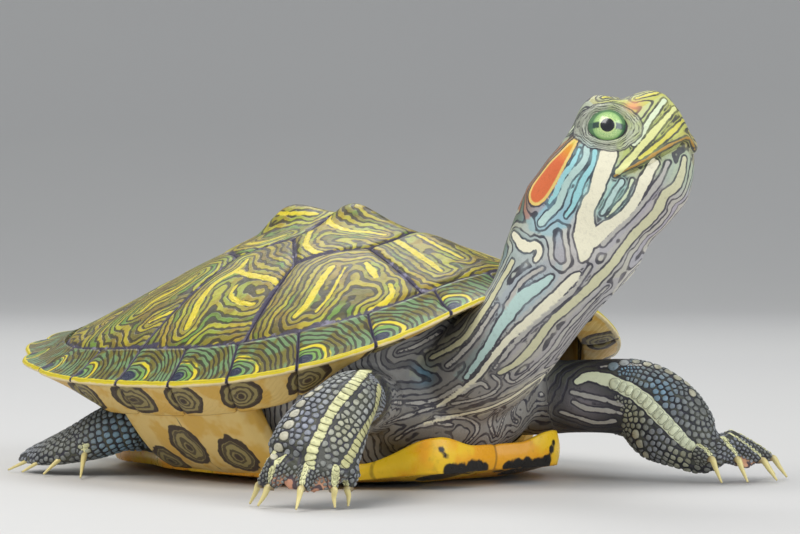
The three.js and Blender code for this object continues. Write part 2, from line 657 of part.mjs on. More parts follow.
function headAndNeck() {
  const rimRoom = frontRimRoom();
  const neckLower = loft(NECK, { ...NECK_LOWER, trim: GAP / 2 }).subtract(rimRoom);
  const neck = loft(NECK, { from: NECK_SPLIT, sides: 14, steps: 8, trim: GAP / 2 }).subtract(rimRoom);
  const whole = loft(SKULL, { sides: 14, steps: 10 }).add(neck);
  const neckSide = headPrism(inset(NECK_CUT, GAP / 2));
  const headSide = headPrism(inset(NECK_CUT, -GAP / 2));
  const jawIn = headPrism(inset(JAW_CUT, GAP / 2));
  const jawOut = headPrism(inset(JAW_CUT, -GAP / 2));
  const upper = whole.subtract(headSide);
  let head = upper.subtract(jawOut);
  const eyes = [];
  for (const side of [-1, 1]) {
    const centre = inHead(side * EYE.side, EYE.forward, EYE.up).toArray();
    const ball = (radius) => solidOf(new THREE.SphereGeometry(radius, 10, 7).translate(...centre));
    head = head.subtract(ball(EYE.radius + GAP));
    eyes.push(meshOf(side < 0 ? 'eye_right' : 'eye_left', ball(EYE.radius), skin(IRIS, 0.15)));
  }
  return [
    meshOf('head', head, skin(HEAD_GREEN)),
    meshOf('lower_jaw', upper.intersect(jawIn), skin(HEAD_GREEN)),
    meshOf('neck_upper', whole.intersect(neckSide), skin(NECK_GREY)),
    meshOf('neck_lower', neckLower, skin(NECK_GREY)),
    ...eyes,
  ];
}

// The body inside the shell, with the fold of skin round the neck and the arms in front.
function trunkSolid() {
  const count = 18;
  const ringAt = (share, top) => Array.from({ length: count }, (_, i) => {
    const [x, y] = planPoint((2 * Math.PI * i) / count, share);
    return [x, y, top ? domeHeight(x, y) - SHELL.plate - 2.6 : 2.4];
  });
  const rings = [ringAt(0.62, false), ringAt(0.83, true), ringAt(0.66, true), ringAt(0.36, true)];
  let body = ringsToSolid(rings);
  const collar = solidOf(new THREE.SphereGeometry(1, 12, 7).scale(15, 8, 9.5).translate(0, -25, 11.5));
  body = body.add(collar).subtract(plastronSolid(GAP));
  const around = [loft(NECK, { ...NECK_LOWER, grow: GAP }), loft(TAIL, { ...TAIL_SHAPE, grow: GAP })];
  for (const arm of [RIGHT_ARM, LEFT_ARM]) around.push(limbPiece(arm, ARM_CUTS, 'upper', GAP));
  for (const leg of [RIGHT_LEG, LEFT_LEG]) {
    around.push(limbPiece(leg, LEG_CUTS, 'upper', GAP), limbPiece(leg, LEG_CUTS, 'lower', GAP));
  }
  for (const limb of around) body = body.subtract(limb);
  return body;
}

// ---------- assembly ----------
const group = new THREE.Group();
group.add(...plateMeshes(), ...marginalMeshes(), ...limbMeshes(), ...headAndNeck());
group.add(meshOf('plastron', plastronSolid(), skin(YELLOW, 0.4)));
group.add(meshOf('trunk', trunkSolid(), skin(LIMB_GREY)));
group.add(meshOf('tail', loft(TAIL, TAIL_SHAPE), skin(LIMB_GREY)));

// The origin is the middle of the bottom of the bounding box.
const box = new THREE.Box3().setFromObject(group);
const middle = box.getCenter(new THREE.Vector3());
for (const mesh of group.children) mesh.geometry.translate(-middle.x, -middle.y, -box.min.z);

export default group;
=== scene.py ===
# %% [markdown]
# # A young red-eared slider turtle
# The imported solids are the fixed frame, and every visible piece is built round them. A turtle is two kinds
# of thing: hard horn plates with clean seams, and one soft skin that runs from the beak to the toes. The
# plates are made as separate meshes from the formula of the shell, and the skin is made as one mesh.

# %% Frame
import math
import bpy
import bmesh
import numpy as np
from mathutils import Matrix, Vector
from mathutils.kdtree import KDTree
from mathutils.bvhtree import BVHTree


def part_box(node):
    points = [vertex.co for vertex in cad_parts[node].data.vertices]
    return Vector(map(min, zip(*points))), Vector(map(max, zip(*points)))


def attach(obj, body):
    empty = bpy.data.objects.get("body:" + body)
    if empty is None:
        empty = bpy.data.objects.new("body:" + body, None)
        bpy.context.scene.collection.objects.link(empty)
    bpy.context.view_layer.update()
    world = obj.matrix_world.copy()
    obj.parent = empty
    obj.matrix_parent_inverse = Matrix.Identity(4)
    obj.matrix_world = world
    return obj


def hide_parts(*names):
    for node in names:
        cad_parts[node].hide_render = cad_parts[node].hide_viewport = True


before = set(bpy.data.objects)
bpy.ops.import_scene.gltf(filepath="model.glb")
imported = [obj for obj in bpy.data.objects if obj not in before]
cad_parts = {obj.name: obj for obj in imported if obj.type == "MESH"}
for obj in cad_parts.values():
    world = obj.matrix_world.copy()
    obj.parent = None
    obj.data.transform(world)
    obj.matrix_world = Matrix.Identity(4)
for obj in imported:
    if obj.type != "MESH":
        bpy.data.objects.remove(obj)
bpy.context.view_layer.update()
print("frame:", len(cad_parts), "nodes")

# %% [markdown]
# ## Units and the shell's own axes
# All shapes are written in millimetres from the middle of the shell, with the floor at zero, the head end
# at minus Y and the turtle's right side at minus X. The third vertebral plate tells where that middle is
# in the frame, because the plate is centred on it from side to side and its seams are known.

# %% Units
MM = 0.001
RAD = math.pi / 180
PLATE_SEAMS = [-42, -18.7, -3.8, 10.2, 23, 42]
plate_low, plate_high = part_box("vertebral_3")
plate_middle = (plate_low + plate_high) / 2 / MM
shift = np.array([plate_middle.x, plate_middle.y - (PLATE_SEAMS[2] + PLATE_SEAMS[3]) / 2, 0])
print("shell middle in the frame, mm:", shift.round(2))


def ramp(low, high, value):
    """0 below low, 1 above high and smooth between."""
    t = np.clip((np.asarray(value, float) - low) / (high - low), 0, 1)
    return t * t * (3 - 2 * t)


def mix(a, b, t):
    return a + (b - a) * t


def signed_power(value, exponent):
    return np.sign(value) * np.abs(value) ** exponent


# %% [markdown]
# ## Camera
# A long lens from the front right, a little above the floor and nearly level, shows the near side of the
# shell with the raised head in profile. It comes first, because some marks are placed by where they are seen.

# %% Camera
IMAGE = (800, 534)
AZIMUTH = -41.4
DISTANCE = 440
CAMERA_HEIGHT = 34.2
HEADING = -42.81
LOOK_DOWN = 0.9
LENS = 146.9
camera_at = np.array([DISTANCE * math.sin(AZIMUTH * RAD), -DISTANCE * math.cos(AZIMUTH * RAD), CAMERA_HEIGHT])
camera_data = bpy.data.cameras.new("camera")
camera_data.lens = LENS
camera = bpy.data.objects.new("camera", camera_data)
camera.location = (camera_at + shift) * MM
camera.rotation_euler = ((90 - LOOK_DOWN) * RAD, 0, HEADING * RAD)
bpy.context.scene.collection.objects.link(camera)
bpy.context.scene.camera = camera
camera_turn = np.array(camera.rotation_euler.to_matrix())
FOCAL = LENS / camera_data.sensor_width * IMAGE[0]
print("camera at, mm:", (camera_at + shift).round(1))


def sight(pixel):
    """The direction in which the camera sees a pixel."""
    x, y = pixel
    local = np.array([x - IMAGE[0] / 2, IMAGE[1] / 2 - y, -FOCAL])
    return camera_turn @ (local / np.linalg.norm(local))


# %% [markdown]
# ## Mesh helpers
# Each piece is worked out as arrays of points and then handed over once, which is quick and keeps the
# formulas readable. Nearly all are stacks of rings closed by a tip at each end. Measures that a finish
# needs, such as the distance to a seam, go along as attributes.

# %% Mesh helpers
def new_piece(name, points, faces):
    """A smooth mesh object from points in the shell's millimetres."""
    mesh = bpy.data.meshes.new(name)
    mesh.from_pydata(((np.asarray(points) + shift) * MM).tolist(), [], faces)
    mesh.polygons.foreach_set("use_smooth", [True] * len(mesh.polygons))
    piece = bpy.data.objects.new(name, mesh)
    bpy.context.scene.collection.objects.link(piece)
    return piece


def build(name, points, faces, stands_for=(), outward=True):
    """A visible piece of the turtle, with its faces turned outward if they may not be so yet."""
    piece = new_piece(name, points, faces)
    if outward:
        shell = bmesh.new()
        shell.from_mesh(piece.data)
        bmesh.ops.recalc_face_normals(shell, faces=shell.faces)
        shell.to_mesh(piece.data)
        shell.free()
    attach(piece, "root")
    if stands_for:
        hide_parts(*stands_for)
    return piece


def give(piece, name, values):
    """Stores one number, or one colour, for each point of a piece."""
    values = np.asarray(values, float)
    kinds = {1: ("FLOAT", "value"), 2: ("FLOAT_COLOR", "color")}
    kind, field = kinds[values.ndim]
    if values.ndim == 2 and values.shape[1] == 3:
        values = np.hstack([values, np.ones((len(values), 1))])
    layer = piece.data.attributes.new(name, kind, "POINT")
    layer.data.foreach_set(field, values.ravel())


print("helpers for pieces and their measures are ready")

# %% [markdown]
# ## Grids of faces
# Most pieces are grids of points: rows that run along a piece, or rings round it that may close at a tip.
# These helpers list the faces of such grids and join several of them into one.

# %% Grids of faces
def quads(rows, columns, start=0, wrap=False):
    """Faces of a grid of points, row by row."""
    faces = []
    across = columns if wrap else columns - 1
    for r in range(rows - 1):
        for c in range(across):
            d = (c + 1) % columns
            low, high = start + r * columns, start + (r + 1) * columns
            faces.append((low + c, low + d, high + d, high + c))
    return faces


def fan(ring, tip, flip=False):
    """Triangles from a closed ring of point numbers to one tip."""
    pairs = zip(ring, ring[1:] + ring[:1])
    return [(b, a, tip) if flip else (a, b, tip) for a, b in pairs]


def closed(rows, columns, tip_first=False):
    """Faces of rings closed by two tips: both after the rings, or one before them and one after."""
    start = int(tip_first)
    end = start + rows * columns
    first = list(range(start, start + columns))
    last = list(range(end - columns, end))
    faces = quads(rows, columns, start, wrap=True)
    faces += fan(first, 0 if tip_first else end, flip=True)
    return faces + fan(last, end if tip_first else end + 1)


def joined(parts):
    """Points and faces of several meshes as one."""
    points, faces, start = [], [], 0
    for some_points, some_faces in parts:
        points.append(some_points)
        faces += [tuple(i + start for i in face) for face in some_faces]
        start += len(some_points)
    return np.vstack(points), faces


def full_turn(count):
    """Angles evenly round a circle."""
    return np.linspace(0, 2 * math.pi, count, endpoint=False)


def run_along(line):
    """Length along a line up to each of its points."""
    return np.concatenate([[0], np.cumsum(np.linalg.norm(np.diff(line, axis=0), axis=1))])


print("faces between 3 rows of 4 points:", len(quads(3, 4)))

# %% [markdown]
# ## The shell as a formula
# The carapace is a low dome over a squarish oval, with a rim that rises at both ends and arches over the
# neck, and a keel that ends in a knob on each of the middle plates. One formula for the height lets the
# plates, the rim and the skin beneath all meet without any fitting.

# %% Shell formula
HALF_LENGTH = 40
HALF_WIDTH = 33.8
REAR_FLARE = 0.05
SQUARE_FRONT = 2.85
SQUARE_REAR = 2.4
DOME_HEIGHT = 33
DOME_FALL = (2, 1.6)
DOME_FLARE = (0.95, 1.4)
PLATE = 2.2
LIP = 0.65
CUSP = 1.1
RIM_MEAN = 16.1
RIM_FRONT_REAR = 0.8
RIM_ENDS_UP = 3.1
NECK_ARCH = 5.0
NECK_ARCH_ANGLE = 22 * RAD
KEEL_HEIGHT = 3.7
KEEL_WIDTH = 2.9
KNOB_AT = 0.73
MARGINALS = 12
NUCHAL_HALF = 2.8
MARGINAL_LINE = 0.868


def squareness(forward):
    return np.where(forward > 0, SQUARE_FRONT, SQUARE_REAR)


def plan_point(angle, share=1.0):
    """A point of the plan oval: angle 0 is the front, and positive angles are the right side."""
    s = squareness(np.cos(angle))
    y = -share * HALF_LENGTH * signed_power(np.cos(angle), 2 / s)
    across = -share * HALF_WIDTH * signed_power(np.sin(angle), 2 / s)
    return across * (1 + REAR_FLARE * y / HALF_LENGTH), y


def plan_share(x, y):
    """How far out in the oval a point is, with 1 at the rim, and its plan angle."""
    across = x / (1 + REAR_FLARE * y / HALF_LENGTH) / HALF_WIDTH
    along = y / HALF_LENGTH
    s = squareness(-y)
    share = (np.abs(across) ** s + np.abs(along) ** s) ** (1 / s)
    return share, np.arctan2(signed_power(-across, s / 2), signed_power(-along, s / 2))


def rim_height(angle):
    arch = NECK_ARCH * np.exp(-((np.abs(angle) / NECK_ARCH_ANGLE) ** 1.6))
    return RIM_MEAN + RIM_FRONT_REAR * np.cos(angle) + RIM_ENDS_UP * np.cos(2 * angle) + arch


def keel(x, y):
    seams = np.array(PLATE_SEAMS)
    after = np.clip(np.searchsorted(seams, y, side="right"), 1, len(seams) - 1)
    part = np.clip((y - seams[after - 1]) / (seams[after] - seams[after - 1]), 0, 1)
    knob = 0.5 + 0.5 * np.sin(math.pi * part ** (math.log(0.5) / math.log(KNOB_AT)))
    middle = np.exp(-(((y - 2) / 22) ** 2))
    return KEEL_HEIGHT * knob * middle * np.exp(-((x / KEEL_WIDTH) ** 2))


def dome_height(x, y):
    share, angle = plan_share(x, y)
    rim = rim_height(angle)
    side = np.abs(angle) / RAD
    fall = mix(*DOME_FALL, ramp(30, 100, side))
    flare = mix(*DOME_FLARE, ramp(85, 150, side))
    rise = (1 - np.minimum(share, 0.999) ** fall) ** flare
    return rim + (DOME_HEIGHT - rim) * rise + keel(x, y)


def rim_seams():
    """Plan angles of the marginal seams on one side, by equal lengths along the rim."""
    angles = np.linspace(0, math.pi, 721)
    run = run_along(np.column_stack(plan_point(angles)))
    return np.interp(np.linspace(NUCHAL_HALF, run[-1], MARGINALS + 1), run, angles)


SEAMS = rim_seams()
print("marginal seams, degrees:", (SEAMS / RAD).round(0))

# %% [markdown]
# ## Outlines of the carapace plates
# The carapace has five vertebral plates down the middle and four costal plates on each side. Their
# outlines are straight between a few corners, which lie on the seams of the rim and on a waist beside the
# keel. Corners beyond the rim only give the direction of a seam, as the rim cuts the plates off.

# %% Plate outlines
WAIST = 8
CORNERS = [15, 12.6, 12]
FRONT_CORNER = (-12, -32)
REAR_CORNER = (-13, 31)


def mirror(outline):
    return [(-x, y) for x, y in reversed(outline)]


def waist(k):
    return (-WAIST, PLATE_SEAMS[k])


def side_corner(k):
    return (-CORNERS[k - 1], (PLATE_SEAMS[k] + PLATE_SEAMS[k + 1]) / 2 - 1)


def out_at(seam, share=1.0):
    x, y = plan_point(SEAMS[seam], share)
    return (float(x), float(y))


def beyond(seam):
    return out_at(seam, 1.3)


vertebral_halves = [
    [beyond(1), FRONT_CORNER, waist(1)],
    [waist(1), side_corner(1), waist(2)],
    [waist(2), side_corner(2), waist(3)],
    [waist(3), side_corner(3), waist(4)],
    [waist(4), REAR_CORNER, beyond(11)],
]
costal_outlines = [
    [waist(1), FRONT_CORNER, beyond(1), beyond(2), beyond(4), out_at(4), side_corner(1)],
    [side_corner(1), out_at(4), beyond(4), beyond(6), out_at(6), side_corner(2), waist(2)],
    [side_corner(2), out_at(6), beyond(6), beyond(8), out_at(8), side_corner(3), waist(3)],
    [side_corner(3), out_at(8), beyond(8), beyond(9), beyond(11), REAR_CORNER, waist(4)],
]

print("plate outlines:", len(vertebral_halves) + 2 * len(costal_outlines))

# %% [markdown]
# ## Carapace plates
# A real plate grows outward from a small first plate, so each one here is a set of rings that run from
# its middle to its outline, which gives clean edges along the seams. The surface has faint growth ridges
# and dips at the edge, as horn does at a seam, and the plate is closed below.

# %% Plate meshes
PLATE_TURNS = 240
PLATE_RINGS = 44
SEAM_WIDTH = 0.16
EDGE_DIP = 0.42
EDGE_WIDTH = 0.42
EDGE_WALL = 1.0
GROWTH_RIDGE = 0.012
GROWTH_STEP = 1.7
HALVINGS = 24


def reach_to_outline(centre, directions, outline):
    """Distance from the centre to the plate's outline in each direction, inside the marginal line."""
    corners = np.array(outline, float)
    ends = np.roll(corners, -1, axis=0)
    side = ends - corners
    best = np.full(len(directions), 99.0)
    for start, edge in zip(corners, side):
        det = directions[:, 0] * -edge[1] + directions[:, 1] * edge[0]
        det = np.where(np.abs(det) < 1e-9, 1e-9, det)
        gap = start - centre
        distance = (gap[0] * -edge[1] + gap[1] * edge[0]) / det
        along = (directions[:, 0] * gap[1] - directions[:, 1] * gap[0]) / det
        hit = (distance > 0) & (along >= -1e-6) & (along <= 1 + 1e-6)
        best = np.where(hit & (distance < best), distance, best)
    low, high = np.zeros(len(directions)), best.copy()
    for _ in range(HALVINGS):
        middle = (low + high) / 2
        spot = centre + directions * middle[:, None]
        inside = plan_share(spot[:, 0], spot[:, 1])[0] < MARGINAL_LINE
        low, high = np.where(inside, middle, low), np.where(inside, high, middle)
    return low


def plate(name, outline, centre):
    turn = full_turn(PLATE_TURNS)
    directions = np.stack([np.cos(turn), np.sin(turn)], axis=1)
    reach = reach_to_outline(np.array(centre), directions, outline)
    for _ in range(3):
        reach = (np.roll(reach, 1) + 2 * reach + np.roll(reach, -1)) / 4
    reach -= SEAM_WIDTH / 2
    border = np.array(centre) + directions * reach[:, None]
    share = 1 - (1 - np.linspace(0, 1, PLATE_RINGS + 1)[1:]) ** 1.3
    plan = np.array(centre) + share[:, None, None] * reach[None, :, None] * directions
    plan = np.vstack([[centre], plan.reshape(-1, 2)])
    edge = np.array([np.hypot(*(border - p).T).min() for p in plan])
    relief = -EDGE_DIP * np.exp(-((edge / EDGE_WIDTH) ** 1.4))
    relief += GROWTH_RIDGE * np.cos(2 * math.pi * edge / GROWTH_STEP) * ramp(0.5, 1.4, edge)
    top = np.column_stack([plan, dome_height(plan[:, 0], plan[:, 1]) + relief])
    wall = top[-PLATE_TURNS:] - [0, 0, EDGE_WALL]
    points = np.vstack([top, wall, top[:1] - [0, 0, PLATE]])
    faces = closed(PLATE_RINGS + 1, PLATE_TURNS, tip_first=True)
    piece = build(name + "_plate", points, faces, [name])
    give(piece, "edge", np.concatenate([edge, np.zeros(PLATE_TURNS + 1)]))
    return piece


def outline_middle(outline):
    """The middle of the part of an outline that lies inside the marginal line."""
    corners = np.array(outline, float)
    share, _ = plan_share(*corners.T)
    corners *= np.minimum(1, MARGINAL_LINE / share)[:, None]
    return tuple(corners.mean(axis=0))


plates = []
for k, half in enumerate(vertebral_halves):
    outline = half + mirror(half)
    plates.append(plate(f"vertebral_{k + 1}", outline, outline_middle(outline)))
for k, outline in enumerate(costal_outlines):
    for side, shape in (("right", outline), ("left", mirror(outline))):
        plates.append(plate(f"costal_{side}_{k + 1}", shape, outline_middle(shape)))
print("carapace plates:", len(plates), "with", sum(len(p.data.polygons) for p in plates), "faces")

# %% [markdown]
# ## Seam bed
# Between the plates lies darker, softer horn. One plain dome just under the plate edges shows through the
# thin gaps, so the seams are real gaps with something in them and not painted lines.

# %% Seam bed
BED_DEPTH = 0.62
BED_TURNS = 120
BED_RINGS = 40


def seam_bed():
    turn = full_turn(BED_TURNS)
    shares = np.linspace(0, MARGINAL_LINE + 0.02, BED_RINGS + 1)[1:]
    plan = np.vstack([[[0, 0]]] + [np.column_stack(plan_point(turn, s)) for s in shares])
    top = np.column_stack([plan, dome_height(plan[:, 0], plan[:, 1]) - BED_DEPTH])
    points = np.vstack([top, top[-BED_TURNS:] - [0, 0, 1], top[:1] - [0, 0, 1.4]])
    return build("seam_bed", points, closed(BED_RINGS + 1, BED_TURNS, tip_first=True))


bed = seam_bed()
print("seam bed:", len(bed.data.polygons), "faces")

# %% [markdown]
# ## Marginal plates
# The rim is a row of small plates, each folded over the edge of the shell. The fold has four corners: where
# it meets the dome, the rim above and below the lip, and the inner edge of its underside. Beside the bridge
# the underside hangs down, and at the rear each plate ends in a blunt point.

# %% Fold of the rim
UNDER_DROP = 0.8
BRIDGE_DROP = 3
POINT_SKEW = 1.4
RIM_OVERLAP = 0.009
LIP_LEAN = 0.992


def underside_drop(angle):
    """How far the underside of the rim hangs down at its inner edge: most beside the bridge."""
    side = np.abs(angle) / RAD
    return UNDER_DROP + BRIDGE_DROP * ramp(34, 60, side) * (1 - ramp(98, 116, side))


def cusp_at(angle):
    """How far the rim sticks out: the rear marginals each have a blunt point."""
    side = np.abs((angle + math.pi) % (2 * math.pi) - math.pi)
    k = np.clip(np.searchsorted(SEAMS, side), 1, MARGINALS)
    part = np.clip((side - SEAMS[k - 1]) / (SEAMS[k] - SEAMS[k - 1]), 0, 1)
    return CUSP * ramp(7, 10, k) * np.sin(math.pi * part ** POINT_SKEW)


def fold_corners(angle):
    """Inner top edge, rim above, rim below and inner lower edge of the fold, each as a row of points."""
    x, y = plan_point(angle, MARGINAL_LINE + RIM_OVERLAP)
    u, v = plan_point(angle)
    out = 1 + cusp_at(angle) / np.hypot(u, v)
    rim = rim_height((angle + math.pi) % (2 * math.pi) - math.pi)
    dome = dome_height(x, y)
    low = np.minimum(rim - LIP - underside_drop(angle), dome - PLATE)
    upper = (u * out, v * out, rim)
    lower = (u * out * LIP_LEAN, v * out * LIP_LEAN, rim - LIP)
    return [np.stack(corner, axis=-1) for corner in ((x, y, dome), upper, lower, (x, y, low))]


print("the rim's blunt points stand out, mm:", round(float(cusp_at(np.linspace(0, math.pi, 721)).max()), 1))

# %% [markdown]
# ## Surface of the marginal plates
# A section of the fold is swept along the rim. Its upper side is a little hollow, its lower side swells, and
# the surface sinks where a plate meets its neighbour. The places of the dark spot above and of the ringed
# mark below are measured here, in millimetres on the plate.

# %% Surface of the marginal plates
RIM_STEPS = 40
TOP_STEPS = 20
LIP_STEPS = 6
UNDER_STEPS = 16
SEAM_SINK = 0.32
SINK_WIDTH = 0.34
RIM_GAP = 0.05
TOP_HOLLOW = 0.22
LIP_SWELL = 0.3
UNDER_SWELL = 0.35
SPOT_AT = (0.9, 0.8)
SPOT_FLAT = 1.25
RING_MARK_AT = (0.86, 0.38)
RING_MARK_LONG = 0.86


def marginal(angle_from, angle_to):
    """Points, faces and measures of one marginal plate."""
    gap = RIM_GAP / 2 / HALF_LENGTH
    angle = np.linspace(angle_from + gap, angle_to - gap, RIM_STEPS)
    inner, upper, lower, under = fold_corners(angle)
    top_t = np.linspace(0, 1, TOP_STEPS)[:, None, None]
    lip_t = np.linspace(0, 1, LIP_STEPS + 2)[1:-1, None, None]
    under_t = np.linspace(0, 1, UNDER_STEPS)[:, None, None]
    back_t = np.linspace(0, 1, 4)[1:-1, None, None]
    across = np.linalg.norm(upper - inner, axis=1).mean()
    below = np.linalg.norm(under - lower, axis=1).mean()
    length = np.linalg.norm(np.diff(upper, axis=0), axis=1).sum()
    hollow = np.array([0, 0, -TOP_HOLLOW]) * (4 * top_t * (1 - top_t))
    outward = (upper - inner) / across
    top = mix(inner, upper, top_t) + hollow
    lip = mix(upper, lower, lip_t) + outward * LIP_SWELL * np.sin(math.pi * lip_t)
    bottom = mix(lower, under, under_t) - np.array([0, 0, UNDER_SWELL]) * (4 * under_t * (1 - under_t))
    back = mix(under, inner, back_t)
    rows = np.concatenate([top, lip, bottom, back])
    from_seam = np.linspace(0, length, RIM_STEPS)
    to_seam = np.minimum(from_seam, length - from_seam)
    sink = SEAM_SINK * np.exp(-((to_seam / SINK_WIDTH) ** 1.4))[None, :, None]
    middle = (inner + upper + lower + under) / 4
    inward = middle - rows
    inward /= np.linalg.norm(inward, axis=-1, keepdims=True)
    rows = rows + inward * sink
    points = rows.transpose(1, 0, 2).reshape(-1, 3)
    ends = np.array([rows[:, 0].mean(axis=0), rows[:, -1].mean(axis=0)])
    over = np.concatenate([top_t.ravel() * across, across + lip_t.ravel(),
                           across + 1 + under_t.ravel() * below, np.full(2, across + below)])
    along, over = [grid.ravel() for grid in np.meshgrid(from_seam, over, indexing="ij")]
    if abs(angle_from) > abs(angle_to):
        along = length - along
    spot = np.hypot(along - SPOT_AT[0] * length, (over - SPOT_AT[1] * across) * SPOT_FLAT)
    ring_mark = np.min([np.hypot((along - (RING_MARK_AT[0] - ahead) * length) * RING_MARK_LONG,
                                 over - across - 1 - RING_MARK_AT[1] * below) for ahead in (0, 1)], axis=0)
    to_seam = np.minimum(along, length - along)
    measures = {"spot": spot, "ring_mark": ring_mark, "rim": over - across, "seam": to_seam}
    measures = {key: np.append(value, [0, 0]) for key, value in measures.items()}
    return np.vstack([points, ends]), closed(RIM_STEPS, len(rows)), measures


def rim_band(name, spans):
    """One piece made of several marginal plates."""
    made = [marginal(*span) for span in spans]
    points, faces = joined([(points, faces) for points, faces, _ in made])
    piece = build(name + "_plates", points, faces, [name])
    for key in made[0][2]:
        give(piece, key, np.concatenate([measures[key] for _, _, measures in made]))
    return piece


right_spans = list(zip(SEAMS[:-1], SEAMS[1:]))
left_spans = [(-b, -a) for a, b in right_spans]
rims = [
    rim_band("marginals_front", [left_spans[0], (-SEAMS[0], SEAMS[0]), right_spans[0]]),
    rim_band("marginals_right", right_spans[1:7]),
    rim_band("marginals_left", left_spans[1:7]),
    rim_band("marginals_rear", right_spans[7:] + left_spans[7:]),
]
print("marginal plates:", 2 * MARGINALS + 1)

# %% [markdown]
# ## Plastron
# The lower shell is a flat shield with a raised, notched front lip. It is made from rings between its
# middle and its outline, above and below, with shallow grooves where its own plates meet.

# %% Plastron
PLASTRON_FRONT = -34.5
PLASTRON_EDGE = 21.5
PLASTRON_LIP = 5.2
LIP_CORNER = 1.3
PLASTRON_THICK = 2.2
PLASTRON_SIDE = [
    (0, -33.6), (-6, -34.3), (-11, -33.7), (-14.2, -30.4), (-18, -26), (-21.5, -18), (-22, -7), (-21.5, 5),
    (-18.5, 13), (-17, 21), (-12, 29), (-6, 33), (0, 30.5),
]
PLASTRON_GROOVES = [-28.5, -17.5, -4, 10, 22]
GROOVE_DEPTH = 0.22
GROOVE_WIDTH = 0.3
PLASTRON_RINGS = 49
FLAT_SHARE = 0.63
EDGE_SWELL = 0.012
LIP_ROWS = 12
RAISED_EDGE = 0.9
RAISED_FROM = 0.6
SEAM_BEND = 2.2
SEAM_BEND_AT = 14


def smooth_line(values, t):
    """A smooth line through rows of values, at shares t of the way along."""
    p = np.vstack([2 * values[0] - values[1], values, 2 * values[-1] - values[-2]])
    place = np.asarray(t) * (len(values) - 1)
    k = np.clip(place.astype(int), 0, len(values) - 2)
    f = (place - k)[:, None]
    a, b, c, d = p[k], p[k + 1], p[k + 2], p[k + 3]
    bend = (2 * a - 5 * b + 4 * c - d) * f ** 2 + (3 * b - a - 3 * c + d) * f ** 3
    return 0.5 * (2 * b + (c - a) * f + bend)


def curve(points, count):
    """Evenly spaced points on a smooth line through the given ones."""
    line = smooth_line(np.array(points, float), np.linspace(0, 1, 24 * len(points)))
    run = run_along(line)
    at = np.linspace(0, run[-1], count)
    return np.column_stack([np.interp(at, run, column) for column in line.T])


def plastron_top(x, y, share):
    front = ramp(27, -PLASTRON_FRONT, -y)
    lip = PLASTRON_LIP + LIP_CORNER * ramp(4, 10, np.abs(x)) - PLASTRON_THICK
    edge = RAISED_EDGE * ramp(RAISED_FROM, 1, share)
    return PLASTRON_THICK + edge + (lip - RAISED_EDGE) * front * ramp(RAISED_FROM, 0.95, share)


def plastron_underside(y, share):
    return (RAISED_EDGE + ramp(24, 35, -y)) * ramp(0.62, 1, share) ** 1.5


def groove(x, y):
    """Depth of the grooves between the plastron's plates."""
    depth = np.exp(-((x / GROOVE_WIDTH) ** 2))
    for at in PLASTRON_GROOVES:
        bend = SEAM_BEND * (np.abs(x) / SEAM_BEND_AT) ** 2 * (1 if at < 0 else -1)
        depth = np.maximum(depth, np.exp(-(((y - at - bend) / GROOVE_WIDTH) ** 2)))
    return GROOVE_DEPTH * depth


def plastron_piece():
    half = curve(PLASTRON_SIDE, 240)
    outline = np.vstack([half, half[-2:0:-1] * [-1, 1]])
    centre = np.array([0, -1])
    low, high = [], []
    for s in np.linspace(0, 1, PLASTRON_RINGS + 1)[1:]:
        plan = centre + (outline - centre) * s
        x, y = plan.T
        under = np.maximum(plastron_underside(y, s), 0) + groove(x, y) * (s > FLAT_SHARE)
        low.append(np.column_stack([plan, under]))
        high.append(np.column_stack([plan, plastron_top(x, y, s) - groove(x, y)]))
    edge, below, above = outline, low[-1][:, 2], high[-1][:, 2]
    swollen = edge + (edge - centre) * EDGE_SWELL
    rim = [np.column_stack([mix(edge, swollen, math.sin(math.pi * t)), mix(below, above, t)])
           for t in np.linspace(0, 1, LIP_ROWS + 2)[1:-1]]
    rings = low + rim + high[::-1]
    points = np.vstack([[[*centre, 0]]] + rings + [[[*centre, PLASTRON_THICK]]])
    faces = closed(len(rings), len(outline), tip_first=True)
    piece = build("plastron_shield", points, faces, ["plastron"])
    x, y = points[:, 0], points[:, 1]
    give(piece, "seam", np.minimum.reduce([np.abs(x)] + [np.abs(y - at) for at in PLASTRON_GROOVES]))
    return piece


plastron = plastron_piece()
print("plastron:", len(plastron.data.polygons), "faces")

# %% [markdown]
# ## Bridges
# On each side a bridge of horn climbs from the plastron to the underside of the rim. It is a bent strip
# between those two edges, closed at the back, and its plates carry ringed marks like the rim's own.

# %% Bridges
BRIDGE = (-17.5, 6)
BRIDGE_MARKS = [(-12.5, 0.5), (-4.5, 0.62), (2.2, 0.35)]
BRIDGE_ROWS = 70
BRIDGE_COLUMNS = 36
BRIDGE_OVERLAP = 0.014
BRIDGE_RISE = 0.25
BRIDGE_BULGE = 1.5
BRIDGE_BEND = 1.35
BRIDGE_BACK = [-0.6, 0, 1.6]
END_TUCK = 1.1
END_TUCK_WIDTH = 0.9
MARK_LONG = 0.72
BRIDGE_SEAM_AT = 7.5
BRIDGE_SEAM_LEAN = 0.25


def half_width_at(y, share):
    s = squareness(-np.asarray(y, float))
    along = np.abs(y) / (share * HALF_LENGTH)
    across = share * HALF_WIDTH * (1 - along ** s) ** (1 / s)
    return across * (1 + REAR_FLARE * y / HALF_LENGTH)


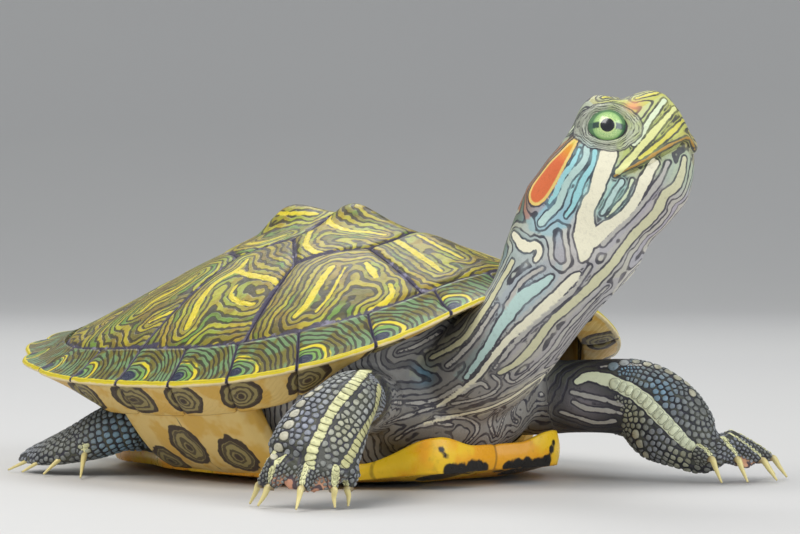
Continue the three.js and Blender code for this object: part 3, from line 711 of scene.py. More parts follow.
def bridge(side, name):
    rows, columns = BRIDGE_ROWS, BRIDGE_COLUMNS
    y = np.linspace(*BRIDGE, rows)
    share = MARGINAL_LINE + BRIDGE_OVERLAP
    out = half_width_at(y, share)
    angle = plan_share(-out, y)[1]
    rim = rim_height(angle)
    top = np.minimum(rim - LIP - underside_drop(angle), dome_height(out, y) - PLATE) + BRIDGE_RISE
    foot = PLASTRON_EDGE - np.interp(y, [BRIDGE[0], -7, BRIDGE[1]], [1.2, 0.3, 1.2])
    t = np.linspace(0, 1, columns)
    bulge = BRIDGE_BULGE * np.sin(math.pi * t) ** 1.2
    x = mix(foot[:, None], out[:, None], t[None, :])
    z = mix(0.9, top[:, None], t[None, :] ** BRIDGE_BEND) - bulge[None, :] * 0.45
    ends = np.minimum(y - BRIDGE[0], BRIDGE[1] - y)
    tuck = END_TUCK * np.exp(-((ends / END_TUCK_WIDTH) ** 2))[:, None]
    outer = np.dstack([x - tuck * 0.4, np.repeat(y[:, None], columns, axis=1), z + tuck])
    inner = outer[:, ::-1] + BRIDGE_BACK
    section = np.concatenate([outer, inner], axis=1)
    count = 2 * columns
    points = section.reshape(-1, 3) * [side, 1, 1]
    tips = np.array([section[0].mean(axis=0), section[-1].mean(axis=0)]) * [side, 1, 1]
    piece = build(name, np.vstack([points, tips]), closed(rows, count))
    width = float(np.mean(out - foot))
    along = np.repeat(y, count)
    climb = np.tile(np.concatenate([t, t[::-1]]) * width, rows)
    marks = [np.hypot((along - at) * MARK_LONG, climb - part * width) for at, part in BRIDGE_MARKS]
    give(piece, "ring_mark", np.concatenate([np.minimum.reduce(marks), [9, 9]]))
    give(piece, "seam", np.concatenate([np.abs(along + BRIDGE_SEAM_AT - BRIDGE_SEAM_LEAN * climb), [0, 0]]))
    return piece


bridges = [bridge(-1, "bridge_right"), bridge(1, "bridge_left")]
print("bridges:", len(bridges))

# %% [markdown]
# ## The head's own axes
# Features of the face are written beside the head: side, forward and up from a point inside the skull. A
# turn to the left and a tip upward carry them to their places, so that the whole face moves as one.

# %% Head axes
HEAD_AT = np.array([3.2, -50.6, 42])
HEAD_YAW = 28
HEAD_PITCH = 26


def turn_matrix(axis, degrees):
    c, s = math.cos(degrees * RAD), math.sin(degrees * RAD)
    if axis == "z":
        return np.array([[c, -s, 0], [s, c, 0], [0, 0, 1]])
    return np.array([[1, 0, 0], [0, c, -s], [0, s, c]])


HEAD_TURN = turn_matrix("z", HEAD_YAW) @ turn_matrix("x", -HEAD_PITCH)
HEAD_SIDE = tuple(HEAD_TURN[:, 0])


def in_head(points):
    """From head coordinates (side, forward, up) to the shell's."""
    return (np.asarray(points, float) * [1, -1, 1]) @ HEAD_TURN.T + HEAD_AT


def head_coordinates(points):
    """From the shell's coordinates to (side, forward, up), with the left side positive."""
    return ((np.asarray(points, float) - HEAD_AT) @ HEAD_TURN) * [1, -1, 1]


print("the head looks along:", (in_head((0, 1, 0)) - HEAD_AT).round(2))

# %% [markdown]
# ## Body lines
# The soft body is a set of tubes: each follows a smooth line and has oval sections. The lines are the bones'
# paths, so they set the pose: the neck rises and bends to the left, and the head tips up on it. The same
# stations are used for the solids underneath, which keeps the skin where the frame has its flesh.

# %% Body lines
SKULL_AXIS = -1.5
BEHIND = (1, 0, 0)


def stations(*rows):
    """Each row is (centre, direction of the width, half width, up, down); down repeats up if left out."""
    return np.array([(*at, *side, *sizes[:2], sizes[-1]) for at, side, *sizes in rows])


NECK = stations(
    ((0, -22.5, 13), BEHIND, 9.5, 7, 7.5),
    ((-1.2, -31, 15), BEHIND, 8.6, 5.8, 7),
    ((-1.6, -37.3, 18.8), BEHIND, 7.9, 5.2, 6.6),
    ((-1.1, -41.6, 23), (0.98, 0.2, 0), 7.2, 5.4, 6.6),
    ((0, -44.7, 28), (0.94, 0.34, 0), 6.8, 7.2, 7.8),
    ((1.5, -47.6, 32.6), HEAD_SIDE, 6.8, 8.5),
    ((3, -50.6, 36.7), HEAD_SIDE, 6, 7.6),
    ((4.3, -53, 39.6), HEAD_SIDE, 4.2, 6),
)
SKULL = [
    (-11, 4.4, 0.8, -6.5),
    (-8, 6.2, 2.3, -9.5),
    (-4.5, 7.4, 3.7, -11.4),
    (-1.5, 7.3, 5.2, -12.2),
    (1.5, 6.6, 6.2, -12.2),
    (4.2, 5.5, 5.4, -11.2),
    (6.6, 4.5, 4.7, -9.4),
    (8.4, 3.5, 4.1, -7.1),
    (9.6, 2.2, 3, -4.8),
    (10.2, 1, 1.2, -2.4),
]
SKULL_LINE = stations(*(
    (tuple(in_head((0, forward, SKULL_AXIS))), HEAD_SIDE, wide, top - SKULL_AXIS, SKULL_AXIS - bottom)
    for forward, wide, top, bottom in SKULL
))
RIGHT_ARM = stations(
    ((-12, -24, 10.5), (0.6, -0.6, 0.4), 4.4, 4.2),
    ((-21, -31.6, 11.4), (0.6, -0.6, 0.5), 4.4, 3.8),
    ((-30.2, -39, 11.8), (0.72, -0.68, 0.2), 4.2, 3.4),
    ((-35, -40.6, 8.8), (0.72, -0.69, 0), 5.3, 2.9),
    ((-38, -41.6, 5), (0.68, -0.73, 0), 5.4, 2.3),
    ((-39.4, -41.9, 2.8), (0.55, -0.83, 0), 5.4, 1.6),
)
LEFT_ARM = stations(
    ((12, -24, 9.7), (-0.5, -0.6, 0.6), 5.4, 4.2),
    ((17, -31.8, 10.5), (-0.1, -0.1, 0.98), 5.2, 4),
    ((21.4, -38.6, 10.2), (0.3, -0.2, 0.9), 5.2, 3.8),
    ((22.4, -43.2, 7.2), (0.53, -0.49, 0.69), 5.6, 3.1),
    ((24, -47.2, 4.3), (0.62, -0.2, 0.5), 4.8, 2.5),
    ((26.8, -50, 2.9), (0.85, 0.4, 0.1), 4.9, 1.7),
)
RIGHT_LEG = stations(
    ((-9, 15, 9.5), (0.3, 0, 0.9), 4.8, 4.6),
    ((-15, 10.8, 8.8), (0.3, 0, 0.9), 4.4, 4.2),
    ((-20.6, 9.6, 7.8), (0.4, 0, 0.9), 3.8, 3.4),
    ((-24.6, 11.6, 6.4), (0.5, 0, 0.86), 3.4, 2.8),
    ((-26.6, 15.6, 4.9), (0.75, -0.2, 0.62), 4.4, 2.4),
    ((-27.5, 20.8, 3.4), (0.9, -0.1, 0.42), 4.8, 1.8),
    ((-28, 26.8, 2.3), (0.95, 0, 0.3), 3.2, 1.3),
)
LEFT_LEG = RIGHT_LEG * [-1, 1, 1, -1, 1, 1, 1, 1, 1]
TAIL = stations(
    ((0, 28, 10.5), BEHIND, 4.4, 3.8),
    ((-1.8, 34.5, 9.8), BEHIND, 3, 2.8),
    ((-4.4, 38.6, 7.8), BEHIND, 1.9, 1.8),
    ((-6, 40.4, 4.6), BEHIND, 0.9, 0.9),
    ((-6.6, 41, 2.6), BEHIND, 0.4, 0.4),
)
print("stations of the neck and skull:", len(NECK) + len(SKULL_LINE))

# %% [markdown]
# ## Toes and claws
# Each toe has a root on the foot, a share of the way to its claw's tip that is flesh, the height of the
# claw's root and the place on the floor where the tip rests. The toe's own line and the claw's both follow
# from those, and a thin web lies between the toes of the forefeet.

# %% Toes and claws
TOE_SIZES = [1.4, 1.0, 0.78]
HIND_ROOT = (26.6, 16.5, 3.9)
HIND_TIPS = [(33.2, 9.4), (33.4, 17.2), (33.2, 22.2), (32.4, 26.4)]
TOE_PLANS = {
    "forefoot_right": [((-35.1, -45.4, 4.3), 0.6, 2.2, (-35.6, -45.4)),
                       ((-37.8, -44.6, 4.4), 0.6, 2.2, (-38, -45.8)),
                       ((-39.2, -42.9, 4.7), 0.6, 2.4, (-43, -44.6)),
                       ((-40, -40.6, 5.4), 0.62, 2.3, (-43.2, -38)),
                       ((-40.9, -39.2, 5.5), 0.62, 2.4, (-41.8, -34.9))],
    "forefoot_left": [((21.8, -48.5, 3.8), 0.55, 3.0, (21.8, -52.8)),
                      ((25, -49.2, 4.9), 0.62, 2.9, (25, -54.4)),
                      ((26.4, -49, 5.3), 0.7, 2.6, (30, -55)),
                      ((27.8, -48.2, 5.5), 0.74, 2.6, (35, -52.4)),
                      ((28.6, -47.2, 5.2), 0.7, 2.5, (37, -48.6))],
    "hindfoot_left": [(HIND_ROOT, 0.45, 2.6, tip) for tip in HIND_TIPS],
}
TOE_PLANS["hindfoot_right"] = [((-x, y, z), *rest, (-u, v))
                               for (x, y, z), *rest, (u, v) in TOE_PLANS["hindfoot_left"]]
CLAW_BASE = 0.42
CLAW_TIP = 0.16
CLAW_INSET = 0.35


def unit(vectors):
    return vectors / np.maximum(np.linalg.norm(vectors, axis=-1, keepdims=True), 1e-9)


def sections(line, t):
    """Centre, side, up and half sizes of the oval sections of a body line."""
    t = np.asarray(t, float)
    ahead, back = np.minimum(t + 0.002, 1), np.maximum(t - 0.002, 0)
    along = unit(smooth_line(line[:, :3], ahead) - smooth_line(line[:, :3], back))
    place = t * (len(line) - 1)
    k = np.clip(place.astype(int), 0, len(line) - 2)
    side = mix(line[k, 3:6], line[k + 1, 3:6], (place - k)[:, None])
    side = unit(side - along * (side * along).sum(axis=1, keepdims=True))
    return smooth_line(line[:, :3], t), side, np.cross(along, side), smooth_line(line[:, 6:], t)


def tube(line, turns, steps, grow=0.0):
    """Points and faces of a closed tube along a body line."""
    centre, side, up, size = sections(line, np.linspace(0, 1, steps))
    size = np.maximum(size + grow, 0.1)
    angle = full_turn(turns)
    lift = np.sin(angle) * np.where(np.sin(angle) > 0, size[:, 1:2], size[:, 2:3])
    rings = (centre[:, None] + side[:, None] * (np.cos(angle) * size[:, :1])[..., None]
             + up[:, None] * lift[..., None])
    return np.vstack([rings.reshape(-1, 3), centre[:1], centre[-1:]]), closed(steps, turns)


def toe_lines(root, share, height, tip):
    """The body lines of one toe and of its claw; height is that of the claw's root."""
    root, tip = np.array(root, float), np.array([*tip, 0.0])
    reach = (tip - root) * [1, 1, 0]
    sideways = unit(np.array([-reach[1], reach[0], 0]))
    knuckle = root + reach * share
    middle = mix(root, knuckle, 0.6)
    knuckle[2] = height
    middle[2] = mix(root[2], height, 0.6) + 0.15
    hook = root + reach * (1 + share) / 2
    hook[2] = height * 0.6
    toe = stations(*((at, sideways, size, size) for at, size in zip((root, middle, knuckle), TOE_SIZES)))
    inside = unit(reach) * CLAW_INSET
    tip[2] = CLAW_TIP * 0.8
    claw = stations((knuckle - inside, sideways, CLAW_BASE * 0.9, CLAW_BASE * 0.92),
                    (knuckle + inside, sideways, CLAW_BASE, CLAW_BASE),
                    (hook, sideways, CLAW_BASE * 0.68, CLAW_BASE * 0.72),
                    (tip, sideways, CLAW_TIP * 0.7, CLAW_TIP * 0.8))
    return toe, claw


TOES = {foot: [toe_lines(*plan) for plan in plans] for foot, plans in TOE_PLANS.items()}
WEBS = {
    "forefoot_right": stations(((-39.3, -42.2, 4.6), (0.55, -0.83, 0), 4.2, 0.7),
                               ((-39.9, -42.6, 3), (0.55, -0.83, 0), 3.2, 0.45),
                               ((-40.4, -42.8, 2), (0.55, -0.83, 0), 2.2, 0.4)),
    "forefoot_left": stations(((25.5, -49, 3.4), (0.85, 0.4, 0), 3.6, 0.6),
                              ((27.5, -50.6, 2.7), (0.9, 0.3, 0), 3.6, 0.45),
                              ((28.6, -51.8, 2.1), (0.9, 0.3, 0), 2.8, 0.4)),
}
print("toes:", sum(len(toes) for toes in TOES.values()))

# %% [markdown]
# ## One skin
# The real skin runs from the beak to the toes without a seam. So the tubes, the trunk inside the shell, the
# fold round the neck's root, the toes and the webs are joined into one mesh before anything is shaped. The
# legs and toes are thinner by the depth of the scales that will cover them.

# %% Join the body
SKIN_GRAIN = 0.36
COAT_DEPTH = 0.12
WEB_SHARE = np.array([1.0, 0.6, 0.6])
PALM_END = 0.75
PALM_SHARE = np.array([1.06, 0.86, 1.0])
LEFT_WRIST = 0.82
PALM_RAISE = np.array([0.7, 1.5])
COLLAR_SIZE = (15, 8, 9.5)
COLLAR_AT = (0, -25, 11.5)
COLLAR_TURNS = 48
TRUNK_RINGS = [(0.62, False), (0.83, True), (0.66, True), (0.36, True)]
TRUNK_TURNS = 60
TRUNK_FLOOR = 2.4
TRUNK_DEPTH = 2.6


def trunk():
    """The body inside the shell."""
    rings = []
    for share, top in TRUNK_RINGS:
        x, y = plan_point(full_turn(TRUNK_TURNS), share)
        z = dome_height(x, y) - PLATE - TRUNK_DEPTH if top else np.full(TRUNK_TURNS, TRUNK_FLOOR)
        rings.append(np.column_stack([x, y, z]))
    tips = [rings[0].mean(axis=0), rings[-1].mean(axis=0)]
    return np.vstack(rings + [tips]), closed(len(rings), TRUNK_TURNS)


def collar():
    """The fold of skin round the root of the neck."""
    wide, long, high = COLLAR_SIZE
    turn = full_turn(COLLAR_TURNS)
    rise = np.linspace(-0.5, 0.5, 26)[1:-1] * math.pi
    rings = [np.column_stack([wide * math.cos(r) * np.cos(turn), long * math.cos(r) * np.sin(turn),
                              np.full(COLLAR_TURNS, high * math.sin(r))]) for r in rise]
    points = np.vstack(rings + [[[0, 0, -high], [0, 0, high]]]) + COLLAR_AT
    return points, closed(len(rings), COLLAR_TURNS)


def thin_paddle(line):
    """A leg with a thinner end, so that the toes stand out from the foot."""
    thinner = line.copy()
    thinner[-1, 6:] *= WEB_SHARE
    thinner[-2, 6:] *= PALM_SHARE
    if line is RIGHT_ARM or line is LEFT_ARM:
        thinner[-1, :3] = mix(line[-2, :3], line[-1, :3], PALM_END)
    if line is RIGHT_ARM:
        thinner[-2:, 2] += PALM_RAISE
    if line is LEFT_ARM:
        thinner[-2, 6] *= LEFT_WRIST
        thinner[-2:, 2] += PALM_RAISE * 0.4
    return thinner


def joined_body():
    parts = [tube(SKULL_LINE, 72, 90), tube(NECK, 64, 90), tube(TAIL, 28, 50), trunk(), collar()]
    parts += [tube(thin_paddle(line), 48, 90, grow=-COAT_DEPTH)
              for line in (RIGHT_ARM, LEFT_ARM, RIGHT_LEG, LEFT_LEG)]
    parts += [tube(toe, 24, 20, grow=-COAT_DEPTH) for toes in TOES.values() for toe, _ in toes]
    parts += [tube(web, 32, 20) for web in WEBS.values()]
    return joined(parts)


print("paddle of the right arm, half widths:", thin_paddle(RIGHT_ARM)[-2:, 6])

# %% [markdown]
# ## Remeshing
# The joined tubes still cut through each other. A voxel remesh keeps only their common outer surface, as
# one closed mesh of even squares. The result is applied at once, so that everything after it works on
# plain points.

# %% Remesh the body
def mesh_points(mesh):
    """Point places in the shell's millimetres, and their normals."""
    places = np.empty(len(mesh.vertices) * 3)
    mesh.vertices.foreach_get("co", places)
    normals = np.empty(len(mesh.vertices) * 3)
    mesh.vertex_normals.foreach_get("vector", normals)
    return places.reshape(-1, 3) / MM - shift, normals.reshape(-1, 3)


def set_points(mesh, points):
    mesh.vertices.foreach_set("co", ((points + shift) * MM).ravel())
    mesh.update()


def apply_modifier(piece, kind, **settings):
    """Adds one modifier to a piece, keeps its result and removes it."""
    modifier = piece.modifiers.new(kind, kind)
    for key, value in settings.items():
        setattr(modifier, key, value)
    graph = bpy.context.evaluated_depsgraph_get()
    made = bpy.data.meshes.new_from_object(piece.evaluated_get(graph))
    piece.modifiers.clear()
    old, piece.data = piece.data, made
    bpy.data.meshes.remove(old)


skin = new_piece("skin", *joined_body())
apply_modifier(skin, "REMESH", mode="VOXEL", voxel_size=SKIN_GRAIN * MM)
print("joined skin:", len(skin.data.polygons), "faces")

# %% [markdown]
# ## Soft joins
# Where a leg or the neck leaves the trunk, living skin makes a smooth hollow. Averaging each point with its
# neighbours many times gives that, and a share for each point keeps the head and the toes crisp.

# %% Soften the joins
JOIN_REACH = (4.5, 9)
JOIN_ROUNDS = 60
JOIN_STRENGTH = 0.55
CHEEK_ROUNDS = 140
CHEEK_STRENGTH = 0.6
LAST_ROUNDS = 4
LAST_STRENGTH = 0.5


def neighbour_average(mesh, values, rounds, strength):
    """Evens out values over the mesh; strength is a number for each point."""
    edges = np.empty(len(mesh.edges) * 2, int)
    mesh.edges.foreach_get("vertices", edges)
    a, b = edges.reshape(-1, 2).T
    count = np.bincount(np.concatenate([a, b]), minlength=len(values))[:, None]
    for _ in range(rounds):
        total = np.stack([np.bincount(a, column[b], len(values)) + np.bincount(b, column[a], len(values))
                          for column in values.T], axis=1)
        values = mix(values, total / count, strength[:, None])
    return values


def soften(piece):
    """Smooths everywhere a little, and deeply where the legs, tail and neck leave the trunk."""
    points, _ = mesh_points(piece.data)
    tops = [line[1, :3] for line in (RIGHT_ARM, LEFT_ARM, RIGHT_LEG, LEFT_LEG)] + [NECK[1, :3], TAIL[1, :3]]
    near = np.min([np.linalg.norm(points - top, axis=1) for top in tops], axis=0)
    points = neighbour_average(piece.data, points, JOIN_ROUNDS, JOIN_STRENGTH * (1 - ramp(*JOIN_REACH, near)))
    side, forward, up = head_coordinates(points).T
    jaw_line = np.abs(up + 9.2 + 0.75 * forward)
    cheek = (1 - ramp(3.5, 7, jaw_line)) * ramp(-11, -8, forward) * (1 - ramp(3.5, 6.5, forward))
    points = neighbour_average(piece.data, points, CHEEK_ROUNDS, CHEEK_STRENGTH * cheek)
    points = neighbour_average(piece.data, points, LAST_ROUNDS, np.full(len(points), LAST_STRENGTH))
    set_points(piece.data, points)


soften(skin)
print("softened skin: height, mm:", mesh_points(skin.data)[0][:, 2].max().round(1))

# %% [markdown]
# ## Finer faces on the head
# The mouth, the eyelids and the fine marks need smaller faces than the rest. Each face of the head is
# split in four, and those round the eyes and along the mouth are split once more.

# %% Refine the head
def refine(piece, chosen):
    """Splits each face of a region in four."""
    mesh = bmesh.new()
    mesh.from_mesh(piece.data)
    mesh.verts.ensure_lookup_table()
    points = np.array([v.co for v in mesh.verts]) / MM - shift
    inside = chosen(points)
    faces = [f for f in mesh.faces if all(inside[v.index] for v in f.verts)]
    edges = list({e for f in faces for e in f.edges})
    bmesh.ops.subdivide_edges(mesh, edges=edges, cuts=1, use_grid_fill=True, smooth=0)
    mesh.to_mesh(piece.data)
    mesh.free()


def on_head(points):
    side, forward, up = head_coordinates(points).T
    return (forward > -7) & (up > -14 + 0.4 * np.abs(forward))


EYE = {"radius": 3.05, "forward": 1.9, "side": 3.45, "up": 1.95}
MOUTH = [(0.9, -3.9), (5.1, -4.0), (9.0, -3.4), (10.1, -3.0), (11.0, -2.8)]


def near_face(points):
    """Round the eyes and along the mouth."""
    side, forward, up = head_coordinates(points).T
    eye = np.hypot(forward - EYE["forward"], up - EYE["up"]) < 4.2
    line = np.interp(forward, *np.array(MOUTH).T)
    return (eye & (np.abs(side) > 3)) | ((np.abs(up - line) < 1.0) & (forward > 0.5))


refine(skin, on_head)
refine(skin, near_face)
print("refined skin:", len(skin.data.polygons), "faces")

# %% [markdown]
# ## Where each point of the skin lies
# Folds, scales and marks all depend on the part of the body that they are on, so each point is told how
# far along which body line it is, and at what angle round it.

# %% Places on the body
LIMBS = {"arm_right": RIGHT_ARM, "arm_left": LEFT_ARM, "leg_right": RIGHT_LEG, "leg_left": LEFT_LEG}


def along_line(line, points, samples=160):
    """Share along a body line, sideways and upward place, and distance in half widths, of each point."""
    t = np.linspace(0, 1, samples)
    centre, side, up, size = sections(line, t)
    nearest = np.empty(len(points), int)
    for start in range(0, len(points), 20000):
        part = points[start:start + 20000]
        gap = (part ** 2).sum(axis=1)[:, None] - 2 * part @ centre.T + (centre ** 2).sum(axis=1)
        nearest[start:start + 20000] = gap.argmin(axis=1)
    from_axis = points - centre[nearest]
    x = (from_axis * side[nearest]).sum(axis=1)
    z = (from_axis * up[nearest]).sum(axis=1)
    size = size[nearest]
    far = np.hypot(np.hypot(x / size[:, 0], z / np.where(z > 0, size[:, 1], size[:, 2])),
                   (from_axis * np.cross(side, up)[nearest]).sum(axis=1) / size[:, 0])
    return t[nearest], x, z, far


def legness(points):
    """1 on the legs and feet, 0 on the head, neck and trunk, and smooth between."""
    value = np.zeros(len(points))
    for name, line in LIMBS.items():
        t, _, _, far = along_line(line, points)
        start = 0.08 if name == "arm_left" else 0.16
        value = np.maximum(value, ramp(start, start + 0.1, t) * (1 - ramp(1.35, 1.7, far)))
    for toes in TOES.values():
        for toe, _ in toes:
            _, _, _, far = along_line(toe, points, 12)
            value = np.maximum(value, 1 - ramp(1.5, 2.2, far))
    for web in WEBS.values():
        value = np.maximum(value, 1 - ramp(1.5, 2.2, along_line(web, points)[3]))
    return value


places, facing = mesh_points(skin.data)
leg_share = legness(places)
print("points on the legs:", int((leg_share > 0.5).sum()), "of", len(places))

# %% [markdown]
# ## Face
# A slider's face is a hard beak with no lips, a long mouth line and an eye that sits in a ring of small
# wrinkled skin. The eyelid is a part of a sphere just outside the eyeball, open over the iris, so that the
# eye is truly set in and not painted on. The beak's upper edge overhangs the lower jaw a little and ends in
# a hook, and two small nostrils open at the tip.

# %% Face shape
LID = {"half_long": 2.3, "half_high": 1.74, "rise": 0.42, "sink": 0.2, "blend": 0.75, "margin": 0.1,
       "wrinkle": 0.055, "reach": 6}
EYE_TILT = -29
EYE_CENTRE = np.array([EYE["side"], EYE["forward"], EYE["up"]])
GAZE_PIXEL = (607.5, 125)
BEAK_EDGE = 0.26
MOUTH_GROOVE = 0.4
JAW_INSET = 0.1
HOOK = {"drop": 1.7, "width": 0.85, "rise": 0.4, "at": (0, 10.1, -3.9), "reach": 1.1}
NOSTRIL = {"forward": 10.0, "side": 0.75, "up": 1.9, "radius": 0.36, "depth": 0.5}
SWELLS = [
    {"at": (2.9, 1.0, 5.2), "width": 2.3, "rise": 0.95},
    {"at": (0, 7.6, 4.6), "width": 2.3, "rise": 0.35},
    {"at": (2.8, 2.6, 5.9), "width": 1.9, "rise": 0.5},
    {"at": (1.2, 4.3, 5.4), "width": 1.2, "rise": -0.3},
    {"at": (6.4, -3.2, -5.5), "width": 3.4, "rise": 0.3},
]


def mouth_line(side, forward):
    """Height of the mouth at a place of the beak; it drops to the hook in the middle of the front."""
    hook = HOOK["drop"] * np.exp(-((side / HOOK["width"]) ** 2)) * ramp(8.3, 9.6, forward)
    return np.interp(forward, *np.array(MOUTH).T) - hook


def ball_hit(centre, radius, pixel):
    """Where the line of sight through a pixel meets a ball."""
    way = sight(pixel)
    near = (centre - camera_at) @ way
    inside = radius ** 2 - (np.linalg.norm(centre - camera_at) ** 2 - near ** 2)
    return camera_at + way * (near - math.sqrt(max(inside, 0)))


print("the mouth at its tip and its corner, mm:", mouth_line(0, np.array([10, MOUTH[0][0]])).round(1))

# %% [markdown]
# ## Frame of the eye
# The eye looks a little forward and up. Where the pupil is seen gives the direction, and a tilt round that
# direction gives the line from corner to corner.

# %% Frame of the eye
def eye_axes():
    """Outward, forward and upward directions of the left eye, in head coordinates."""
    centre = in_head(EYE_CENTRE * [-1, 1, 1])
    hit = head_coordinates(ball_hit(centre, EYE["radius"], GAZE_PIXEL)) * [-1, 1, 1]
    way = unit(hit - EYE_CENTRE)
    tilt = EYE_TILT * RAD
    high = np.array([0, -math.sin(tilt), math.cos(tilt)])
    high = unit(high - way * (high @ way))
    level = np.cross(high, way)
    return np.array([way, level * np.sign(level[1]), high])


EYE_AXES = eye_axes()
print("the left eye looks along (side, forward, up):", EYE_AXES[0].round(2))


def eye_frame(head, side):
    """Outward, forward and upward place beside the left eye's centre, or the right one's if side is -1."""
    return EYE_AXES @ (head * [side, 1, 1] - EYE_CENTRE).T


# %% [markdown]
# ## Shaping the face
# The beak, the eye and the swells of the skull are moved into the fine mesh of the head, one after another.
# Each of them only reaches as far as its own width.

# %% Shape the face
def bump(gap, width):
    return np.exp(-(np.asarray(gap) ** 2).sum(axis=1) / width ** 2)


def shape_beak(head, turn):
    """Raises the beak's edge and hook, cuts the mouth line and sinks the nostrils."""
    over = head[:, 2] - mouth_line(head[:, 0], head[:, 1])
    edge = BEAK_EDGE * np.exp(-(((over - 0.4) / 0.45) ** 2))
    edge += HOOK["rise"] * bump(head - HOOK["at"], HOOK["reach"]) * (over > 0)
    cut = MOUTH_GROOVE * np.exp(-(((over + 0.1) / 0.17) ** 2))
    cut += JAW_INSET * ramp(0, -0.4, over) * ramp(-2.2, -0.6, over)
    head = head + turn * ((edge - cut) * ramp(0.2, 2.2, head[:, 1]))[:, None]
    for side in (-1, 1):
        nostril = bump(head - [NOSTRIL["side"] * side, NOSTRIL["forward"], NOSTRIL["up"]], NOSTRIL["radius"])
        head = head - turn * (NOSTRIL["depth"] * nostril)[:, None]
    return head


def shape_eye(head, side):
    """Moves the skin round an eye onto the swollen lid, and inside the ball where the eye is open."""
    out, forward, up = eye_frame(head, side)
    distance = np.sqrt(out ** 2 + forward ** 2 + up ** 2)
    opening = np.where(out > 0, np.hypot(forward / LID["half_long"], up / LID["half_high"]), 9)
    margin = LID["margin"] * np.exp(-(((opening - 1.07) / 0.07) ** 2))
    wrinkle = LID["wrinkle"] * np.cos(2 * math.pi * (opening - 1) / 0.19) * ramp(1.1, 1.2, opening)
    lid = EYE["radius"] + LID["rise"] + margin + wrinkle * (1 - ramp(1.9, 2.3, opening))
    swollen = LID["blend"] * np.logaddexp(distance / LID["blend"], lid / LID["blend"])
    swollen -= LID["blend"] * np.log1p(np.exp(-np.abs(distance - lid) / LID["blend"])) * 0.4
    wanted = mix(EYE["radius"] - LID["sink"], swollen, ramp(0.97, 1.03, opening))
    centre = EYE_CENTRE * [side, 1, 1]
    moved = centre + (head - centre) * (wanted / np.maximum(distance, 0.3))[:, None]
    return np.where((distance < LID["reach"])[:, None], moved, head)


def shape_face(points, normals):
    head = head_coordinates(points)
    turn = head_coordinates(normals + HEAD_AT)
    for swell in SWELLS:
        for side in (-1, 1) if swell["at"][0] else (1,):
            gap = head - np.array(swell["at"]) * [side, 1, 1]
            head = head + turn * (swell["rise"] * bump(gap, swell["width"]))[:, None]
    head = shape_beak(head, turn)
    for side in (-1, 1):
        head = shape_eye(head, side)
    return in_head(head)


places = shape_face(places, facing)
set_points(skin.data, places)
places, facing = mesh_points(skin.data)
print("face shaped; eye opening, mm:", LID["half_long"] * 2, "by", LID["half_high"] * 2)

# %% [markdown]
# ## Stripes as lines on the skin
# The pale stripes run from the beak and the eye down the whole neck, and each has its own course. They are
# written as they are seen from the camera, as points and half widths, and cast onto the skin. From then
# on they are real lines in space, so they stay where they are from every side. Each point of the skin
# then gets its distance to the nearest stripe, and the fine dark lines between follow from that distance.

# %% Colours of the skin
def paint(red, green, blue):
    """A colour from its usual 0 to 255 values, as the linear light that shading needs."""
    c = np.array([red, green, blue]) / 255
    return tuple(np.where(c < 0.04045, c / 12.92, ((c + 0.055) / 1.055) ** 2.4))


CREAM = paint(238, 232, 205)
PALE_GREEN = paint(214, 224, 190)
PALE_BLUE = paint(185, 212, 205)
PALE_MINT = paint(236, 240, 204)
LEMON = paint(214, 205, 92)
ORANGE = paint(222, 150, 40)
RED = paint(222, 112, 64)
SKY = paint(158, 214, 218)
ASH = paint(186, 182, 174)
BONE = paint(212, 208, 170)
STRAW = paint(222, 220, 166)
KHAKI = paint(190, 186, 132)
PALE_LEMON = paint(222, 222, 150)
TAN = paint(176, 136, 62)
print("cream in linear light:", np.round(CREAM, 2))

# %% [markdown]
# ## Courses of the stripes
# Each mark is a colour and its course. The first one is the red ear patch; the others run along the head,
# the jaw and the neck. The legs have a shorter list of their own.

